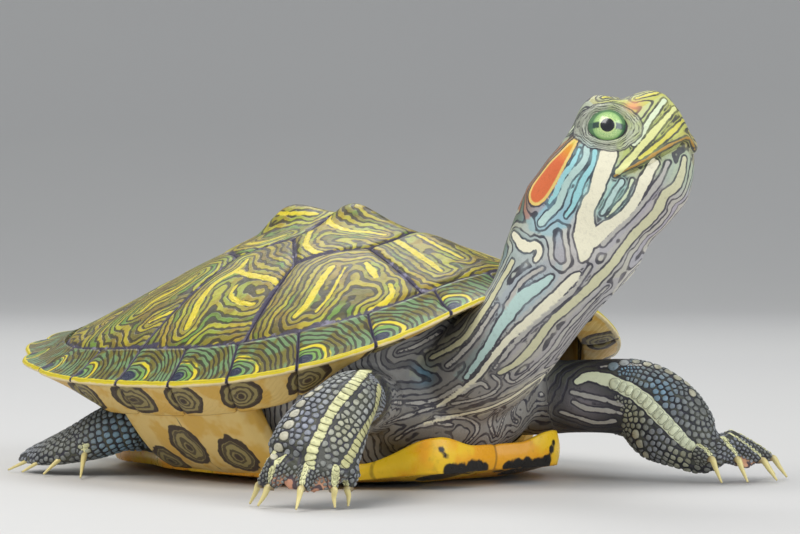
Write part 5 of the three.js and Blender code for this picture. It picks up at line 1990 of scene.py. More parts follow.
# %% [markdown]
# ## Claws
# Long, slim, slightly hooked claws tell a young slider. Each is a tapering horn that starts inside the toe
# and bends down to a point at the floor.

# %% Claws
CLAW_TURNS = 18
CLAW_STEPS = 30
CLAW_CLEAR = 0.02

claws = []
for foot, toes in TOES.items():
    for number, (_, claw) in enumerate(toes):
        points, faces = tube(claw, CLAW_TURNS, CLAW_STEPS)
        points[:, 2] = np.maximum(points[:, 2], CLAW_CLEAR)
        name = f"claw_{foot}_{number + 1}"
        piece = build(name + "_horn", points, faces, [name])
        give(piece, "along", np.append(np.repeat(np.linspace(0, 1, CLAW_STEPS), CLAW_TURNS), [0, 1]))
        claws.append(piece)
print("claws:", len(claws))

# %% [markdown]
# ## Eyes
# The eyeball is a ball whose rings run round the line of sight, so that the pupil, iris and rim are clean
# circles. The clear front bulges a little over the iris. The right eye looks at what is in front of it, and
# the left eye mirrors it.

# %% Eyeballs
EYE_RINGS = 60
EYE_TURNS = 64
BULGE = {"rise": 0.22, "radius": 2.3}
BALL_INSET = 0.05


def eyeball(name, side):
    """side is -1 for the right eye."""
    way, level, high = EYE_AXES * [side, 1, 1]
    polar = np.linspace(0, math.pi, EYE_RINGS + 2)[1:-1] ** 1.25 / math.pi ** 0.25
    turn = full_turn(EYE_TURNS)
    out = EYE["radius"] * polar
    radius = EYE["radius"] + BULGE["rise"] * np.clip(1 - (out / BULGE["radius"]) ** 2, 0, 1) - BALL_INSET
    flat = (np.sin(polar) * radius)[:, None]
    across, height = flat * np.cos(turn), flat * np.sin(turn)
    rings = (way * (np.cos(polar) * radius)[:, None, None]
             + level * across[..., None] + high * height[..., None])
    tips = [way * (EYE["radius"] + BULGE["rise"] - BALL_INSET), -way * EYE["radius"]]
    points = in_head(np.vstack([rings.reshape(-1, 3), tips]) + EYE_CENTRE * [side, 1, 1])
    piece = build(name + "_ball", points, closed(EYE_RINGS, EYE_TURNS), [name])
    give(piece, "height", np.append(height, [0, 0]))
    give(piece, "outward", np.append(np.repeat(out, EYE_TURNS), [0, 9]))
    return piece


eyes = [eyeball("eye_right", -1), eyeball("eye_left", 1)]
print("eyes:", len(eyes))

# %% [markdown]
# ## Wiring a finish
# Every finish is a small net of shader nodes, and a few kinds of node do nearly all the work: sums, smooth
# steps, mixes of two colours and soft noise. A class that holds the node tree and the place by which the
# textures are laid, in millimetres on the turtle, lets a recipe read like a list of coats of paint.

# %% Wiring
class Wiring:
    """A node tree with short ways to add to it, and the place that its textures are laid by."""

    def __init__(self, tree, place=None):
        self.tree = tree
        self.place = place

    def plug(self, socket, value):
        if isinstance(value, bpy.types.NodeSocket):
            self.tree.links.new(value, socket)
        else:
            socket.default_value = (*value, 1) if socket.type == "RGBA" else value

    def node(self, kind, inputs=None, **settings):
        made = self.tree.nodes.new("ShaderNode" + kind)
        for key, value in settings.items():
            setattr(made, key, value)
        for key, value in (inputs or {}).items():
            self.plug(made.inputs[key], value)
        return made

    def calc(self, operation, *values):
        return self.node("Math", dict(enumerate(values)), operation=operation).outputs[0]

    def times(self, a, b):
        return self.calc("MULTIPLY", a, b)

    def step(self, value, low, high, start=0.0, end=1.0):
        """Goes smoothly from start to end while the value goes from low to high."""
        inputs = {0: value, 1: low, 2: high, 3: start, 4: end}
        return self.node("MapRange", inputs, interpolation_type="SMOOTHSTEP").outputs[0]

    def cloud(self, scale, detail=2.0, roughness=0.5):
        """Soft noise from 0 to 1."""
        inputs = {"Vector": self.place, "Scale": scale, "Detail": detail, "Roughness": roughness}
        return self.node("TexNoise", inputs).outputs["Fac"]

    def waver(self, value, scale, amount, detail=2.0):
        """A value made uneven by soft noise, up and down by half the amount."""
        lowered = self.calc("ADD", value, -amount / 2)
        return self.calc("MULTIPLY_ADD", self.cloud(scale, detail), amount, lowered)

    def lay(self, under, over, mask, strength=None):
        """Lays one colour over another where a mask is 1, at a strength that may be less."""
        share = mask if strength is None else self.times(mask, strength)
        return self.node("Mix", {0: share, 6: under, 7: over}, data_type="RGBA").outputs[2]

    def measure(self, name, colour=False):
        """A measure that the mesh carries for each point."""
        return self.node("Attribute", attribute_name=name).outputs["Color" if colour else "Fac"]

    def effect(self, group, **inputs):
        """Places a shader group and gives its outputs; an underscore in a name stands for a space."""
        placed = self.tree.nodes.new("ShaderNodeGroup")
        placed.node_tree = group
        for key, value in inputs.items():
            self.plug(placed.inputs[key.replace("_", " ")], value)
        self.plug(placed.inputs["Place"], self.place)
        return placed.outputs


def shader_group(name, inputs, outputs, recipe):
    """A shader group of numbers, laid by a place: inputs map names to the values they start with."""
    tree = bpy.data.node_groups.new(name, "ShaderNodeTree")
    for label, value in inputs.items():
        socket = tree.interface.new_socket(name=label, in_out="INPUT", socket_type="NodeSocketFloat")
        socket.default_value = value
    tree.interface.new_socket(name="Place", in_out="INPUT", socket_type="NodeSocketVector")
    for label in outputs:
        tree.interface.new_socket(name=label, in_out="OUTPUT", socket_type="NodeSocketFloat")
    given, sink = tree.nodes.new("NodeGroupInput").outputs, tree.nodes.new("NodeGroupOutput")
    for label, socket in recipe(Wiring(tree, given["Place"]), given).items():
        tree.links.new(socket, sink.inputs[label])
    print("shader group:", name)
    return tree


# %% [markdown]
# ## Contour lines
# Beside every stripe and round every bar run fine dark lines, like the lines of a map. An even pattern of
# steps in a distance gives them, once the distance sways a little and the lines swell here and there. The
# bands between the lines also go paler and darker in turn, which colours the ground between them.

# %% Contour lines
def contour_recipe(w, given):
    sway = w.calc("SUBTRACT", w.cloud(given["Sway Scale"]), 0.5)
    moved = w.calc("MULTIPLY_ADD", sway, given["Sway"], given["Distance"])
    turns = w.calc("DIVIDE", moved, given["Spacing"])
    from_middle = w.calc("ABSOLUTE", w.calc("SUBTRACT", w.calc("FRACT", turns), 0.5))
    swell = w.calc("MULTIPLY_ADD", w.cloud(0.9), 0.5, 0.25)
    edge = w.calc("SUBTRACT", 0.5, w.times(given["Width"], swell))
    line = w.step(w.calc("SUBTRACT", from_middle, edge), -0.07, 0.05)
    wave = w.calc("SINE", w.times(w.calc("FLOOR", turns), 2.4))
    return {"Line": line, "Band": w.calc("MULTIPLY_ADD", wave, 0.5, 0.5)}


contour_lines = shader_group(
    "contour lines", {"Distance": 0.0, "Spacing": 0.6, "Sway": 0.3, "Sway Scale": 0.5, "Width": 0.3},
    ["Line", "Band"], contour_recipe)

# %% [markdown]
# ## Grain and patches
# Grain is the fine unevenness of living skin and horn: a height for the relief and a tint. Patches are soft
# areas where a colour comes and goes, and they cover a given share of the surface.

# %% Grain and patches
def grain_recipe(w, given):
    cells = w.node("TexVoronoi", {"Vector": w.place, "Scale": given["Fineness"]}, feature="SMOOTH_F1")
    fine = w.cloud(w.times(given["Fineness"], 1.7), 3, 0.6)
    height = w.calc("MULTIPLY_ADD", cells.outputs["Distance"], -0.8, fine)
    return {"Height": height, "Tint": w.cloud(w.times(given["Fineness"], 0.4), 3, 0.6)}


def patches_recipe(w, given):
    value = w.cloud(given["Scale"], 3, 0.55)
    edge = w.step(given["Cover"], 0.0, 1.0, 0.68, 0.32)
    return {"Mask": w.step(w.calc("SUBTRACT", value, edge), -0.05, 0.07)}


grain = shader_group("grain", {"Fineness": 3.0}, ["Height", "Tint"], grain_recipe)
patches = shader_group("patches", {"Scale": 0.4, "Cover": 0.5}, ["Mask"], patches_recipe)


def patch(w, scale, cover):
    return w.effect(patches, Scale=scale, Cover=cover)["Mask"]


# %% [markdown]
# ## From a recipe to a material
# Each recipe ends with a colour, a roughness and, where the surface has a fine relief, its height and its
# depth in millimetres. The shader itself stays in the material, and gloss that is the same all over is set
# on it directly.

# %% Finishes
def finish(name, recipe, pieces, **settings):
    """Makes a material from a recipe and puts it on pieces; the settings go on the shader."""
    material = bpy.data.materials.new(name)
    material.use_nodes = True
    w = Wiring(material.node_tree)
    shader = w.tree.nodes["Principled BSDF"]
    spot = w.node("TexCoord").outputs["Object"]
    w.place = w.node("VectorMath", {0: spot, "Scale": 1 / MM}, operation="SCALE").outputs[0]
    colour, roughness, *relief = recipe(w)
    w.plug(shader.inputs["Base Color"], colour)
    w.plug(shader.inputs["Roughness"], roughness)
    if relief:
        height, depth = relief
        made = w.node("Bump", {"Strength": 1.0, "Distance": depth * MM, "Height": height})
        w.plug(shader.inputs["Normal"], made.outputs[0])
    for key, value in settings.items():
        w.plug(shader.inputs[key.replace("_", " ")], value)
    for piece in pieces:
        piece.data.materials.clear()
        piece.data.materials.append(material)
    print("finish:", name, "on", len(pieces))


def rough_by(w, fine, smooth, rough, full=0.7):
    """Roughness from smooth to rough with the tint of the grain."""
    return w.step(fine["Tint"], 0.3, full, smooth, rough)


# %% [markdown]
# ## Bars of the carapace
# Each plate has its own bright bars. They are written as they are seen from the camera, like the stripes of
# the skin, and cast onto the dome, where they become lines in plan. The left side mirrors the right one,
# the middle plates mirror themselves, and a plate that is out of sight takes a neighbour's bars.

# %% Plate marks
PLATE_MARKS = {
    "costal_right_1": [[(332, 267, 3), (323.5, 277.5, 4), (314.8, 291.5, 4.4), (306, 305.5, 4),
                        (295.5, 316, 3)],
                       [(366, 263, 2), (372, 271, 4), (376, 277, 2.5)],
                       [(390, 284.5, 2), (392.6, 293, 3), (384.8, 302, 3), (370, 309, 2)],
                       [(345, 268, 1), (336, 284, 1.6), (328, 298, 1.6), (316, 312, 1)]],
    "costal_right_2": [[(247, 260, 2.5), (238, 269.7, 3.4), (216, 282.5, 3.4), (201.3, 299, 3.8),
                        (192.2, 317.3, 4), (187, 328, 3)],
                       [(238, 271.5, 2.5), (250.8, 275.2, 3), (269.2, 278.8, 3), (280, 284, 2)],
                       [(236, 286, 1.5), (230.7, 295.3, 2.4), (239.8, 302.7, 2.4), (254, 304.5, 2)]],
    "costal_right_3": [[(141.7, 311, 2), (153.7, 301, 2.6), (175, 290, 2.6), (196, 276, 2)],
                       [(150, 322, 1.5), (166, 314, 2), (178, 306, 1.5)]],
    "vertebral_1": [[(391.8, 237.3, 2.6), (412.8, 251.3, 4), (428.5, 261.8, 3.6), (441, 271, 2.5)],
                    [(418, 235, 1.5), (440, 247, 2.2), (462, 258, 2)]],
    "vertebral_2": [[(333, 210, 2), (328.8, 222, 2.6), (346.3, 230.3, 2.6), (365.5, 232, 2.4),
                     (384.8, 235, 2)],
                    [(310.5, 231, 2.6), (306, 245, 3.2), (316.5, 252, 3), (330, 252, 2.4)]],
    "vertebral_3": [[(241, 237.3, 2), (245.5, 243.6, 2.8), (262.3, 242, 2.8), (286, 235, 2)],
                    [(274.5, 213.5, 1.5), (300, 213.5, 2), (318, 214, 1.5)]],
}
MARK_OF = {"vertebral_4": "vertebral_3", "vertebral_5": "vertebral_3", "costal_right_4": "costal_right_3"}
PLATE_PLACES = {f"vertebral_{k + 1}": np.array([0, np.mean(PLATE_SEAMS[k:k + 2])]) for k in range(5)}
for k, outline in enumerate(costal_outlines):
    PLATE_PLACES[f"costal_right_{k + 1}"] = np.array(outline_middle(outline))
BAR_ROUNDING = 1.0
BAR_FAR = 9.0
BAR_POINTS = 12
SIGHT_REACH = np.linspace(360, 520, 1600)
print("plates with bars of their own:", len(PLATE_MARKS))

# %% [markdown]
# ## Casting the bars
# A line of sight is followed in small steps until it is below the dome. The distance to the nearest bar and
# the same rounded off between bars are then measured in plan, for every point of a plate.

# %% Cast the bars
def cast_on_dome(pixel):
    """Plan place where a line of sight meets the dome, or None, and pixels per millimetre there."""
    spots = camera_at + sight(pixel) * SIGHT_REACH[:, None]
    share, _ = plan_share(spots[:, 0], spots[:, 1])
    below = (share < 0.95) & (spots[:, 2] < dome_height(spots[:, 0], spots[:, 1]))
    if not below.any():
        return None, None
    first = int(np.argmax(below))
    return spots[first, :2], FOCAL / SIGHT_REACH[first]


def cast_bar(points):
    """A bar's course in plan: place and half width in millimetres."""
    bar = []
    for x, y, half in curve(points, BAR_POINTS):
        spot, scale = cast_on_dome((x, y))
        if spot is not None:
            bar.append((*spot, half / scale))
    return np.array(bar)


def plate_bars(name):
    """The bright bars of a plate in plan."""
    right_name = name.replace("left", "right")
    source = MARK_OF.get(right_name, right_name)
    moved = PLATE_PLACES[right_name] - PLATE_PLACES[source]
    bars = [cast_bar(points) for points in PLATE_MARKS[source]]
    bars = [bar + [*moved, 0] for bar in bars if len(bar) > 1]
    if "left" in name:
        bars = [bar * [-1, 1, 1] for bar in bars]
    if name.startswith("vertebral"):
        bars += [bar * [-1, 1, 1] for bar in bars]
    return bars


for piece in plates:
    plan = mesh_points(piece.data)[0][:, :2]
    bars = [(None, bar) for bar in plate_bars(piece.name.replace("_plate", ""))]
    distance, _, rounded = measure(plan, bars, BAR_ROUNDING, BAR_FAR)
    give(piece, "bar", distance)
    give(piece, "contour", rounded)
print("plates with bars:", len(plates))

# %% [markdown]
# ## Finish of the carapace plates
# Fresh horn is thin and clear over bright pigment. Each plate has bright yellow bars on an olive-green
# ground, with dark wavy lines that follow the bars, and a smooth purple-grey rim of new growth along the
# seams. It is fairly glossy, as a clean wet-living turtle's shell is. The bed in the seams is softer horn.

# %% Finish of the plates
DARK_LINE = paint(48, 40, 30)
OLIVE = paint(112, 104, 36)
LEAF = paint(104, 138, 48)
BRIGHT = paint(216, 196, 36)
AMBER = paint(150, 116, 34)
DIM = paint(92, 78, 36)
NEW_HORN = paint(70, 64, 82)
WORN_HORN = paint(150, 144, 166)
BED_COLOUR = paint(46, 40, 56)
HORN_GLOSS = {"Coat_Weight": 0.1, "Coat_Roughness": 0.3, "Specular_IOR_Level": 0.35}


def plate_recipe(w):
    edge, bar, contour = w.measure("edge"), w.measure("bar"), w.measure("contour")
    lines = w.effect(contour_lines, Distance=contour, Spacing=0.82, Sway=1.7, Width=0.4, Sway_Scale=0.34)
    base = w.lay(OLIVE, LEAF, patch(w, 0.16, 0.5))
    base = w.lay(base, BRIGHT, lines["Band"], 0.6)
    base = w.lay(base, AMBER, patch(w, 0.35, 0.42), 0.5)
    base = w.lay(base, DIM, patch(w, 0.22, 0.38), 0.45)
    wave = w.waver(bar, 0.9, 0.5, 3)
    colour = w.lay(base, BRIGHT, w.step(wave, 0.12, -0.08))
    colour = w.lay(colour, DARK_LINE, w.times(lines["Line"], w.step(wave, -0.05, 0.1)), 0.9)
    rim = w.lay(NEW_HORN, WORN_HORN, patch(w, 0.5, 0.3), 0.7)
    ragged = w.calc("MULTIPLY_ADD", w.cloud(1.6), -0.5, edge)
    ragged = w.calc("MULTIPLY_ADD", patch(w, 0.1, 0.4), -0.3, ragged)
    colour = w.lay(colour, rim, w.step(ragged, 0.1, -0.08))
    fine = w.effect(grain, Fineness=3.4)
    colour = w.lay(colour, DARK_LINE, w.step(fine["Tint"], 0.52, 0.75), 0.3)
    height = w.calc("MULTIPLY_ADD", lines["Line"], -0.6, w.times(fine["Height"], 0.3))
    return colour, rough_by(w, fine, 0.36, 0.52, 0.75), height, 0.06


def bed_recipe(w):
    fine = w.effect(grain, Fineness=2.5)
    return w.lay(BED_COLOUR, NEW_HORN, fine["Tint"]), 0.5, fine["Height"], 0.05


finish("plate horn", plate_recipe, plates, **HORN_GLOSS)
finish("seam horn", bed_recipe, [bed])

# %% [markdown]
# ## Finish of the rim
# Above, each marginal plate has arcs of green and yellow round a blue-black spot at its rear corner. Along
# the edge runs a pale lip, and below it, on a yellow ground, sits a dark ringed mark, one for each plate.

# %% Finish of the rim
SPOT_BLACK = paint(34, 40, 62)
ARC_GREEN = paint(118, 158, 70)
SEA_GREEN = paint(110, 140, 92)
PALE_LIP = paint(226, 206, 154)
OCHRE = paint(226, 194, 118)
WARM_OCHRE = paint(216, 172, 76)
RING_BROWN = paint(58, 42, 28)
RING_OLIVE = paint(150, 136, 84)


def ringed_mark(w, distance, radius, base):
    """A dark ringed mark on a base colour: thick outer ring, olive within, dark swirls and centre."""
    sway = w.waver(distance, 0.55, 1.1)
    lines = w.effect(contour_lines, Distance=sway, Spacing=0.74, Sway=0.3, Width=0.4)
    inner = w.lay(RING_OLIVE, RING_BROWN, lines["Line"], 0.85)
    inner = w.lay(inner, RING_BROWN, w.step(sway, 0.55, 0.3))
    mark = w.lay(inner, RING_BROWN, w.step(sway, radius - 0.55, radius - 0.42))
    return w.lay(mark, base, w.step(sway, radius - 0.02, radius + 0.12))


def above_rim(w, spot, lines):
    """The upper side: arcs of green and yellow round the dark spot."""
    green = patch(w, 0.4, 0.5)
    near, far = w.lay(ARC_GREEN, SEA_GREEN, green), w.lay(OLIVE, SEA_GREEN, green)
    colour = w.lay(near, far, w.step(spot, 2.9, 3.6))
    loose = w.waver(spot, 0.3, 1.6)
    arc = w.times(w.step(loose, 2.6, 2.75), w.step(loose, 3.6, 3.35))
    colour = w.lay(colour, BRIGHT, w.times(arc, patch(w, 0.22, 0.7)))
    colour = w.lay(colour, DARK_LINE, lines["Line"], 0.88)
    return w.lay(colour, SPOT_BLACK, w.step(loose, 1.25, 0.9))


def rim_recipe(w):
    spot, mark, rim, seam = (w.measure(key) for key in ("spot", "ring_mark", "rim", "seam"))
    lines = w.effect(contour_lines, Distance=spot, Spacing=0.86, Sway=2.2, Width=0.42, Sway_Scale=0.28)
    along_lip = w.effect(contour_lines, Distance=rim, Spacing=0.5, Sway=0.2, Width=0.3)
    lip = w.lay(BRIGHT, OLIVE, along_lip["Line"], 0.3)
    ragged = w.waver(rim, 0.6, 0.5)
    above = w.lay(above_rim(w, spot, lines), lip, w.step(ragged, -0.34, -0.24))
    below = ringed_mark(w, mark, 2.75, w.lay(OCHRE, WARM_OCHRE, patch(w, 0.25, 0.5)))
    below = w.lay(below, PALE_LIP, w.step(ragged, 1.15, 0.9))
    colour = w.lay(above, below, w.step(ragged, 0.2, 0.36))
    ragged_seam = w.calc("MULTIPLY_ADD", w.cloud(1.6), -0.25, seam)
    at_seam = w.times(w.step(ragged_seam, 0.16, 0.02), w.step(rim, 1.4, 0.6, 0.35, 1.0))
    colour = w.lay(colour, NEW_HORN, at_seam)
    colour = w.lay(colour, NEW_HORN, w.step(rim, -6.0, -6.6), 0.7)
    fine = w.effect(grain, Fineness=3.2)
    height = w.calc("MULTIPLY_ADD", lines["Line"], -0.35, w.times(fine["Height"], 0.3))
    return colour, rough_by(w, fine, 0.34, 0.5, 0.75), height, 0.05


finish("rim horn", rim_recipe, rims, **HORN_GLOSS)

# %% [markdown]
# ## Blotches of the plastron
# The plastron is orange-yellow with black blotches, in pairs below and broken into rows of drops along the
# raised front lip. Each is a ball of influence, and where two are close they flow into each other.

# %% Blotches
LIP_BLOTCHES = [
    ((450, 470), 0.95), ((460, 470), 1.1), ((470, 469.5), 1.0), ((498, 471), 0.7), ((508, 467.5), 0.8),
    ((518, 463), 0.7), ((527, 460), 0.4), ((530, 470), 0.7), ((538, 469), 0.7), ((442, 450), 0.4),
    ((446, 456), 0.45),
]
BLOTCHES = [(-7, -31.5, 3.0), (-9, -23, 4.5), (-11, -11, 4), (-10, 3, 4.2), (-8, 16, 4), (-5, 26.5, 3)]
BLOTCH_BLEND = 0.3
UNDERSIDE_TOP = 2.6
UNDERSIDE_ONLY = 3.5


def blotch_field(points):
    """Distance to the edge of the nearest black blotch of the plastron's underside and lip."""
    above = UNDERSIDE_ONLY * (points[:, 2] > UNDERSIDE_TOP)
    gap = [np.hypot(np.abs(points[:, 0]) + x, points[:, 1] - y) - radius + above for x, y, radius in BLOTCHES]
    lip = surface_of(plastron)
    for pixel, radius in LIP_BLOTCHES:
        spot, _, _, _ = lip.ray_cast(Vector(camera_at), Vector(sight(pixel)))
        if spot is None:
            continue
        for side in (1, -1):
            gap.append(np.linalg.norm(points - np.array(spot) * [side, 1, 1], axis=1) - radius)
    return -BLOTCH_BLEND * np.log(np.exp(-np.array(gap) / BLOTCH_BLEND).sum(axis=0) + 1e-12)


give(plastron, "blotch", blotch_field(mesh_points(plastron.data)[0]))
print("blotches:", 2 * (len(BLOTCHES) + len(LIP_BLOTCHES)))

# %% [markdown]
# ## Finish of the plastron and the bridges
# The plastron's yellow goes warmer here and there, and its own seams are thin brown lines. The bridges
# carry ringed marks like the rim's, on the same yellow ground.

# %% Finish of the plastron and the bridges
PLASTRON_YELLOW = paint(242, 196, 38)
PLASTRON_ORANGE = paint(236, 164, 26)
BLOTCH = paint(26, 22, 18)


def plastron_recipe(w):
    base = w.lay(PLASTRON_YELLOW, PLASTRON_ORANGE, patch(w, 0.12, 0.5))
    sway = w.waver(w.measure("blotch"), 0.5, 1.2, 3)
    colour = w.lay(base, BLOTCH, w.step(sway, 0.2, -0.1))
    colour = w.lay(colour, RING_BROWN, w.step(w.measure("seam"), 0.28, 0.08), 0.5)
    fine = w.effect(grain, Fineness=1.8)
    colour = w.lay(colour, RING_BROWN, w.step(fine["Tint"], 0.55, 0.8), 0.25)
    return colour, rough_by(w, fine, 0.25, 0.4), w.times(fine["Height"], 0.4), 0.05


def bridge_recipe(w):
    ground = w.lay(OCHRE, WARM_OCHRE, patch(w, 0.2, 0.5))
    colour = ringed_mark(w, w.measure("ring_mark"), 2.2, ground)
    colour = w.lay(colour, RING_BROWN, w.step(w.measure("seam"), 0.2, 0.05), 0.7)
    fine = w.effect(grain, Fineness=2.4)
    return colour, rough_by(w, fine, 0.28, 0.42), w.times(fine["Height"], 0.4), 0.05


finish("plastron horn", plastron_recipe, [plastron], **HORN_GLOSS)
finish("bridge horn", bridge_recipe, bridges, **HORN_GLOSS)

# %% [markdown]
# ## Skin finish
# The skin is soft and slightly moist. Cream stripes with a thin black edge lie on a ground that changes
# from yellow-green on the snout through sky blue on the cheek to grey on the neck, and fine black lines run
# beside the stripes. The red ear patch has a yellow border, and broken rings of fine creases run round the
# eye, where the lid is. On the legs the skin between the scales is nearly black.

# %% Skin finish
LINE_BLACK = paint(38, 36, 40)
LID_GREY = paint(186, 188, 172)
SKIN_LINE = paint(50, 48, 60)
PATCH_RIM = paint(236, 206, 118)
LID_LINE = paint(70, 70, 72)
LID_ROSE = paint(232, 150, 108)


def lid_colour(w, eye, rings, ground):
    """The ringed skin of the eyelids, dark along the opening."""
    colour = w.lay(LID_GREY, ground, w.step(w.cloud(0.6), 0.35, 0.65, 0.15, 0.6))
    broken = w.step(w.cloud(0.9), 0.35, 0.6, 0.3, 0.85)
    colour = w.lay(colour, LID_LINE, w.times(rings["Line"], broken))
    return w.lay(colour, LINE_BLACK, w.step(eye, 2.52, 2.38))


def skin_recipe(w):
    field, flow, ear, eye = (w.measure(key) for key in ("field", "flow", "red_patch", "eye_ring"))
    pale, ground = w.measure("light", True), w.measure("ground", True)
    lines = w.effect(contour_lines, Distance=w.calc("ADD", flow, 0.1), Spacing=0.78, Sway=1.5, Width=0.3,
                     Sway_Scale=0.38)
    paler = w.step(w.measure("leg"), 0.3, 0.7, 0.45, 0.08)
    wobble = w.waver(field, 0.8, 0.5)
    colour = w.lay(w.lay(ground, pale, lines["Band"], paler), pale, w.step(wobble, 0.05, -0.03))
    edge = w.times(w.step(wobble, -0.05, 0.05), w.step(wobble, 0.32, 0.2))
    dark = w.calc("MAXIMUM", edge, w.times(lines["Line"], w.step(wobble, 0.25, 0.45)))
    colour = w.lay(colour, SKIN_LINE, dark, w.step(w.cloud(0.45), 0.3, 0.6, 0.6, 0.92))
    border = w.times(w.step(ear, -0.52, -0.3), w.step(ear, 0.04, -0.06))
    colour = w.lay(colour, PATCH_RIM, border)
    colour = w.lay(colour, SKIN_LINE, w.step(w.cloud(5.5, 3, 0.7), 0.6, 0.75), 0.3)
    rings = w.effect(contour_lines, Distance=eye, Spacing=0.36, Sway=1.3, Width=0.3, Sway_Scale=0.7)
    around = w.calc("MULTIPLY_ADD", w.cloud(0.7), 0.9, eye)
    colour = w.lay(colour, lid_colour(w, eye, rings, ground), w.step(around, 4.75, 4.5))
    colour = w.lay(colour, LID_ROSE, w.measure("rose"), 0.8)
    border = w.times(w.step(around, 4.5, 4.62), w.step(around, 4.86, 4.74))
    colour = w.lay(colour, SKIN_LINE, border, 0.8)
    fine = w.effect(grain, Fineness=4.5)
    colour = w.lay(colour, SKIN_LINE, w.step(fine["Tint"], 0.5, 0.8), 0.16)
    height = w.calc("MULTIPLY_ADD", dark, -0.5, w.times(fine["Height"], 0.5))
    creased = w.times(rings["Line"], w.step(eye, 4.4, 4.0))
    return colour, rough_by(w, fine, 0.38, 0.55), w.calc("MULTIPLY_ADD", creased, -0.7, height), 0.06


finish("skin", skin_recipe, [skin], Subsurface_Weight=0.0)

# %% [markdown]
# ## Scale, claw and eye finishes
# Each scale has its own tone, with painted shade low down at its edge. The claws are pale horn, browner at
# the root. The iris is bright yellow-green, with a dark bar from corner to corner through the round pupil,
# and the wet, clear front gives it one sharp highlight.

# %% Finishes of scales, claws and eyes
# one dark colour for darker grain on the scales and for painted shade on their low rims
SCALE_GRAIN_AND_SHADE = paint(40, 40, 42)
CLAW_CREAM = paint(224, 208, 140)
CLAW_BROWN = paint(132, 112, 80)
IRIS_BRIGHT = paint(196, 222, 146)
IRIS_DEEP = paint(140, 186, 110)
EYE_BAR = paint(6, 42, 50)
PUPIL = paint(6, 8, 14)
PUPIL_RING = paint(196, 214, 140)
SCLERA = paint(72, 112, 82)


def scale_recipe(w):
    fine = w.effect(grain, Fineness=4.0)
    # darker grain spots in the dark colour
    colour = w.lay(w.measure("tone", True), SCALE_GRAIN_AND_SHADE, w.step(fine["Tint"], 0.45, 0.75), 0.4)
    # painted shade low on the rim of each scale, where the scales meet
    colour = w.lay(colour, SCALE_GRAIN_AND_SHADE, w.step(w.measure("rise"), 0.75, 0.1))
    return colour, rough_by(w, fine, 0.36, 0.52), w.times(fine["Height"], 0.6), 0.05


def claw_recipe(w):
    fine = w.effect(grain, Fineness=2.2)
    streak = w.calc("MULTIPLY_ADD", fine["Tint"], 0.35, w.calc("ADD", w.measure("along"), -0.17))
    colour = w.lay(CLAW_BROWN, CLAW_CREAM, w.step(streak, 0.05, 0.5))
    return colour, rough_by(w, fine, 0.28, 0.42), w.times(fine["Height"], 0.4), 0.04


def eye_recipe(w):
    outward = w.measure("outward")
    spokes = w.cloud(6.0, 3, 0.65)
    iris = w.lay(IRIS_BRIGHT, IRIS_DEEP, w.step(spokes, 0.35, 0.7))
    iris = w.lay(iris, IRIS_DEEP, w.step(outward, 1.35, 1.95))
    level = w.calc("MULTIPLY_ADD", spokes, 0.35, w.calc("ADD", w.measure("height"), -0.17))
    iris = w.lay(iris, EYE_BAR, w.step(w.calc("ABSOLUTE", level), 0.52, 0.26), 0.94)
    ring = w.times(w.step(outward, 0.82, 0.88), w.step(outward, 1.06, 0.98))
    iris = w.lay(iris, PUPIL_RING, ring, 0.8)
    iris = w.lay(iris, PUPIL, w.step(outward, 0.86, 0.8))
    return w.lay(iris, SCLERA, w.step(outward, 1.85, 2.05), 0.85), 0.25


finish("leg scales", scale_recipe, coats)
finish("claw horn", claw_recipe, claws, Coat_Weight=0.3, Coat_Roughness=0.2)
finish("eye", eye_recipe, eyes, Coat_Weight=1.0, Coat_Roughness=0.02)

# %% [markdown]
# ## Floor
# A plain pale floor that curves up far behind has no edge to be seen and keeps the shadows soft. It is a
# strip of a few rows, bent along a quarter of a circle.

# %% Floor
FLOOR_HALF = 2.2
FLOOR_NEAR = -1.6
SWEEP_START = 0.75
SWEEP_RISE = 0.9
WALL_TOP = 3
FLOOR_LEVEL = -0.0002
FLOOR_TONE = paint(206, 204, 200)


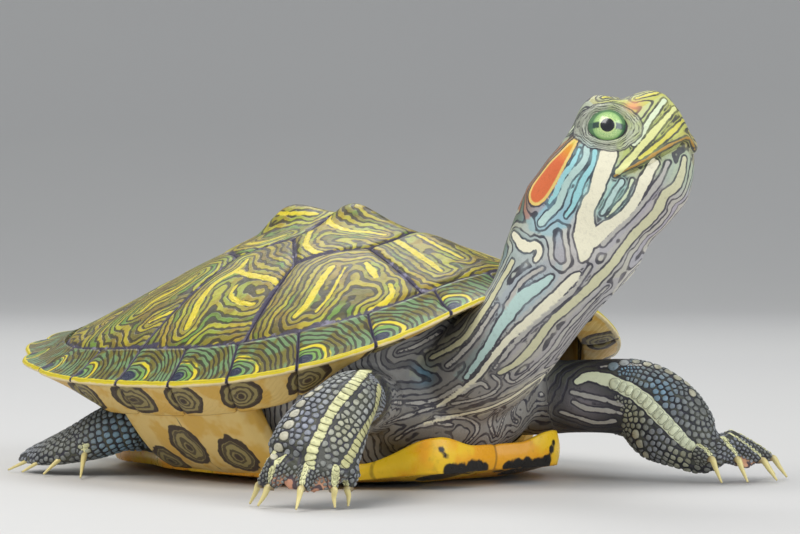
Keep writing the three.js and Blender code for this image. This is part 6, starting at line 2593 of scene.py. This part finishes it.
def backdrop():
    """A flat floor that bends up into a wall behind the animal, seen from the camera."""
    away = Vector(camera_turn @ np.array([0, 0, -1.0])).to_2d().normalized()
    side = Vector((away.y, -away.x))
    bend = np.linspace(0, math.pi / 2, 24)
    rows = [(FLOOR_NEAR, 0)]
    rows += [(SWEEP_START + SWEEP_RISE * math.sin(a), SWEEP_RISE * (1 - math.cos(a))) for a in bend]
    rows += [(SWEEP_START + SWEEP_RISE, WALL_TOP)]
    points = [(*(away * d + side * s), z + FLOOR_LEVEL) for d, z in rows for s in (-FLOOR_HALF, FLOOR_HALF)]
    return new_piece("backdrop", np.array(points) / MM - shift, quads(len(rows), 2))


def floor_recipe(w):
    return w.lay(FLOOR_TONE, WORN_HORN, w.cloud(0.004), 0.12), 0.6


floor = backdrop()
finish("pale floor", floor_recipe, [floor])

# %% [markdown]
# ## Light
# One large lamp high at the front left is the main light, a second fills the shadows from the right and a
# third lifts the edge of the back. A pale grey-blue world fills in what they leave.

# %% Light
WORLD_COLOUR = (0.75, 0.8, 0.86, 1)
WORLD_STRENGTH = 0.55
LOOK_AT = Vector((0, 0, 0.02))


def lamp(name, azimuth, height, distance, size, power, colour):
    """A square area lamp that points at the middle of the turtle."""
    data = bpy.data.lights.new(name, "AREA")
    data.shape = "SQUARE"
    data.size = size
    data.energy = power
    data.color = colour
    made = bpy.data.objects.new(name, data)
    place = Vector((math.sin(azimuth * RAD) * distance, -math.cos(azimuth * RAD) * distance, height))
    made.location = place
    made.rotation_euler = (LOOK_AT - place).to_track_quat("-Z", "Y").to_euler()
    bpy.context.scene.collection.objects.link(made)
    return made


lamps = [
    lamp("main_lamp", -80, 0.66, 0.42, 0.5, 4.4, (1, 0.98, 0.95)),
    lamp("fill_lamp", 15, 0.35, 0.75, 0.6, 3.0, (0.9, 0.95, 1)),
    lamp("back_lamp", 150, 0.6, 0.5, 0.4, 2.0, (0.95, 0.98, 1)),
]
world = bpy.data.worlds.new("studio")
world.use_nodes = True
background = world.node_tree.nodes["Background"]
background.inputs["Color"].default_value = WORLD_COLOUR
background.inputs["Strength"].default_value = WORLD_STRENGTH
bpy.context.scene.world = world
bpy.context.scene.view_settings.view_transform = "Standard"
print("lamps:", len(lamps))
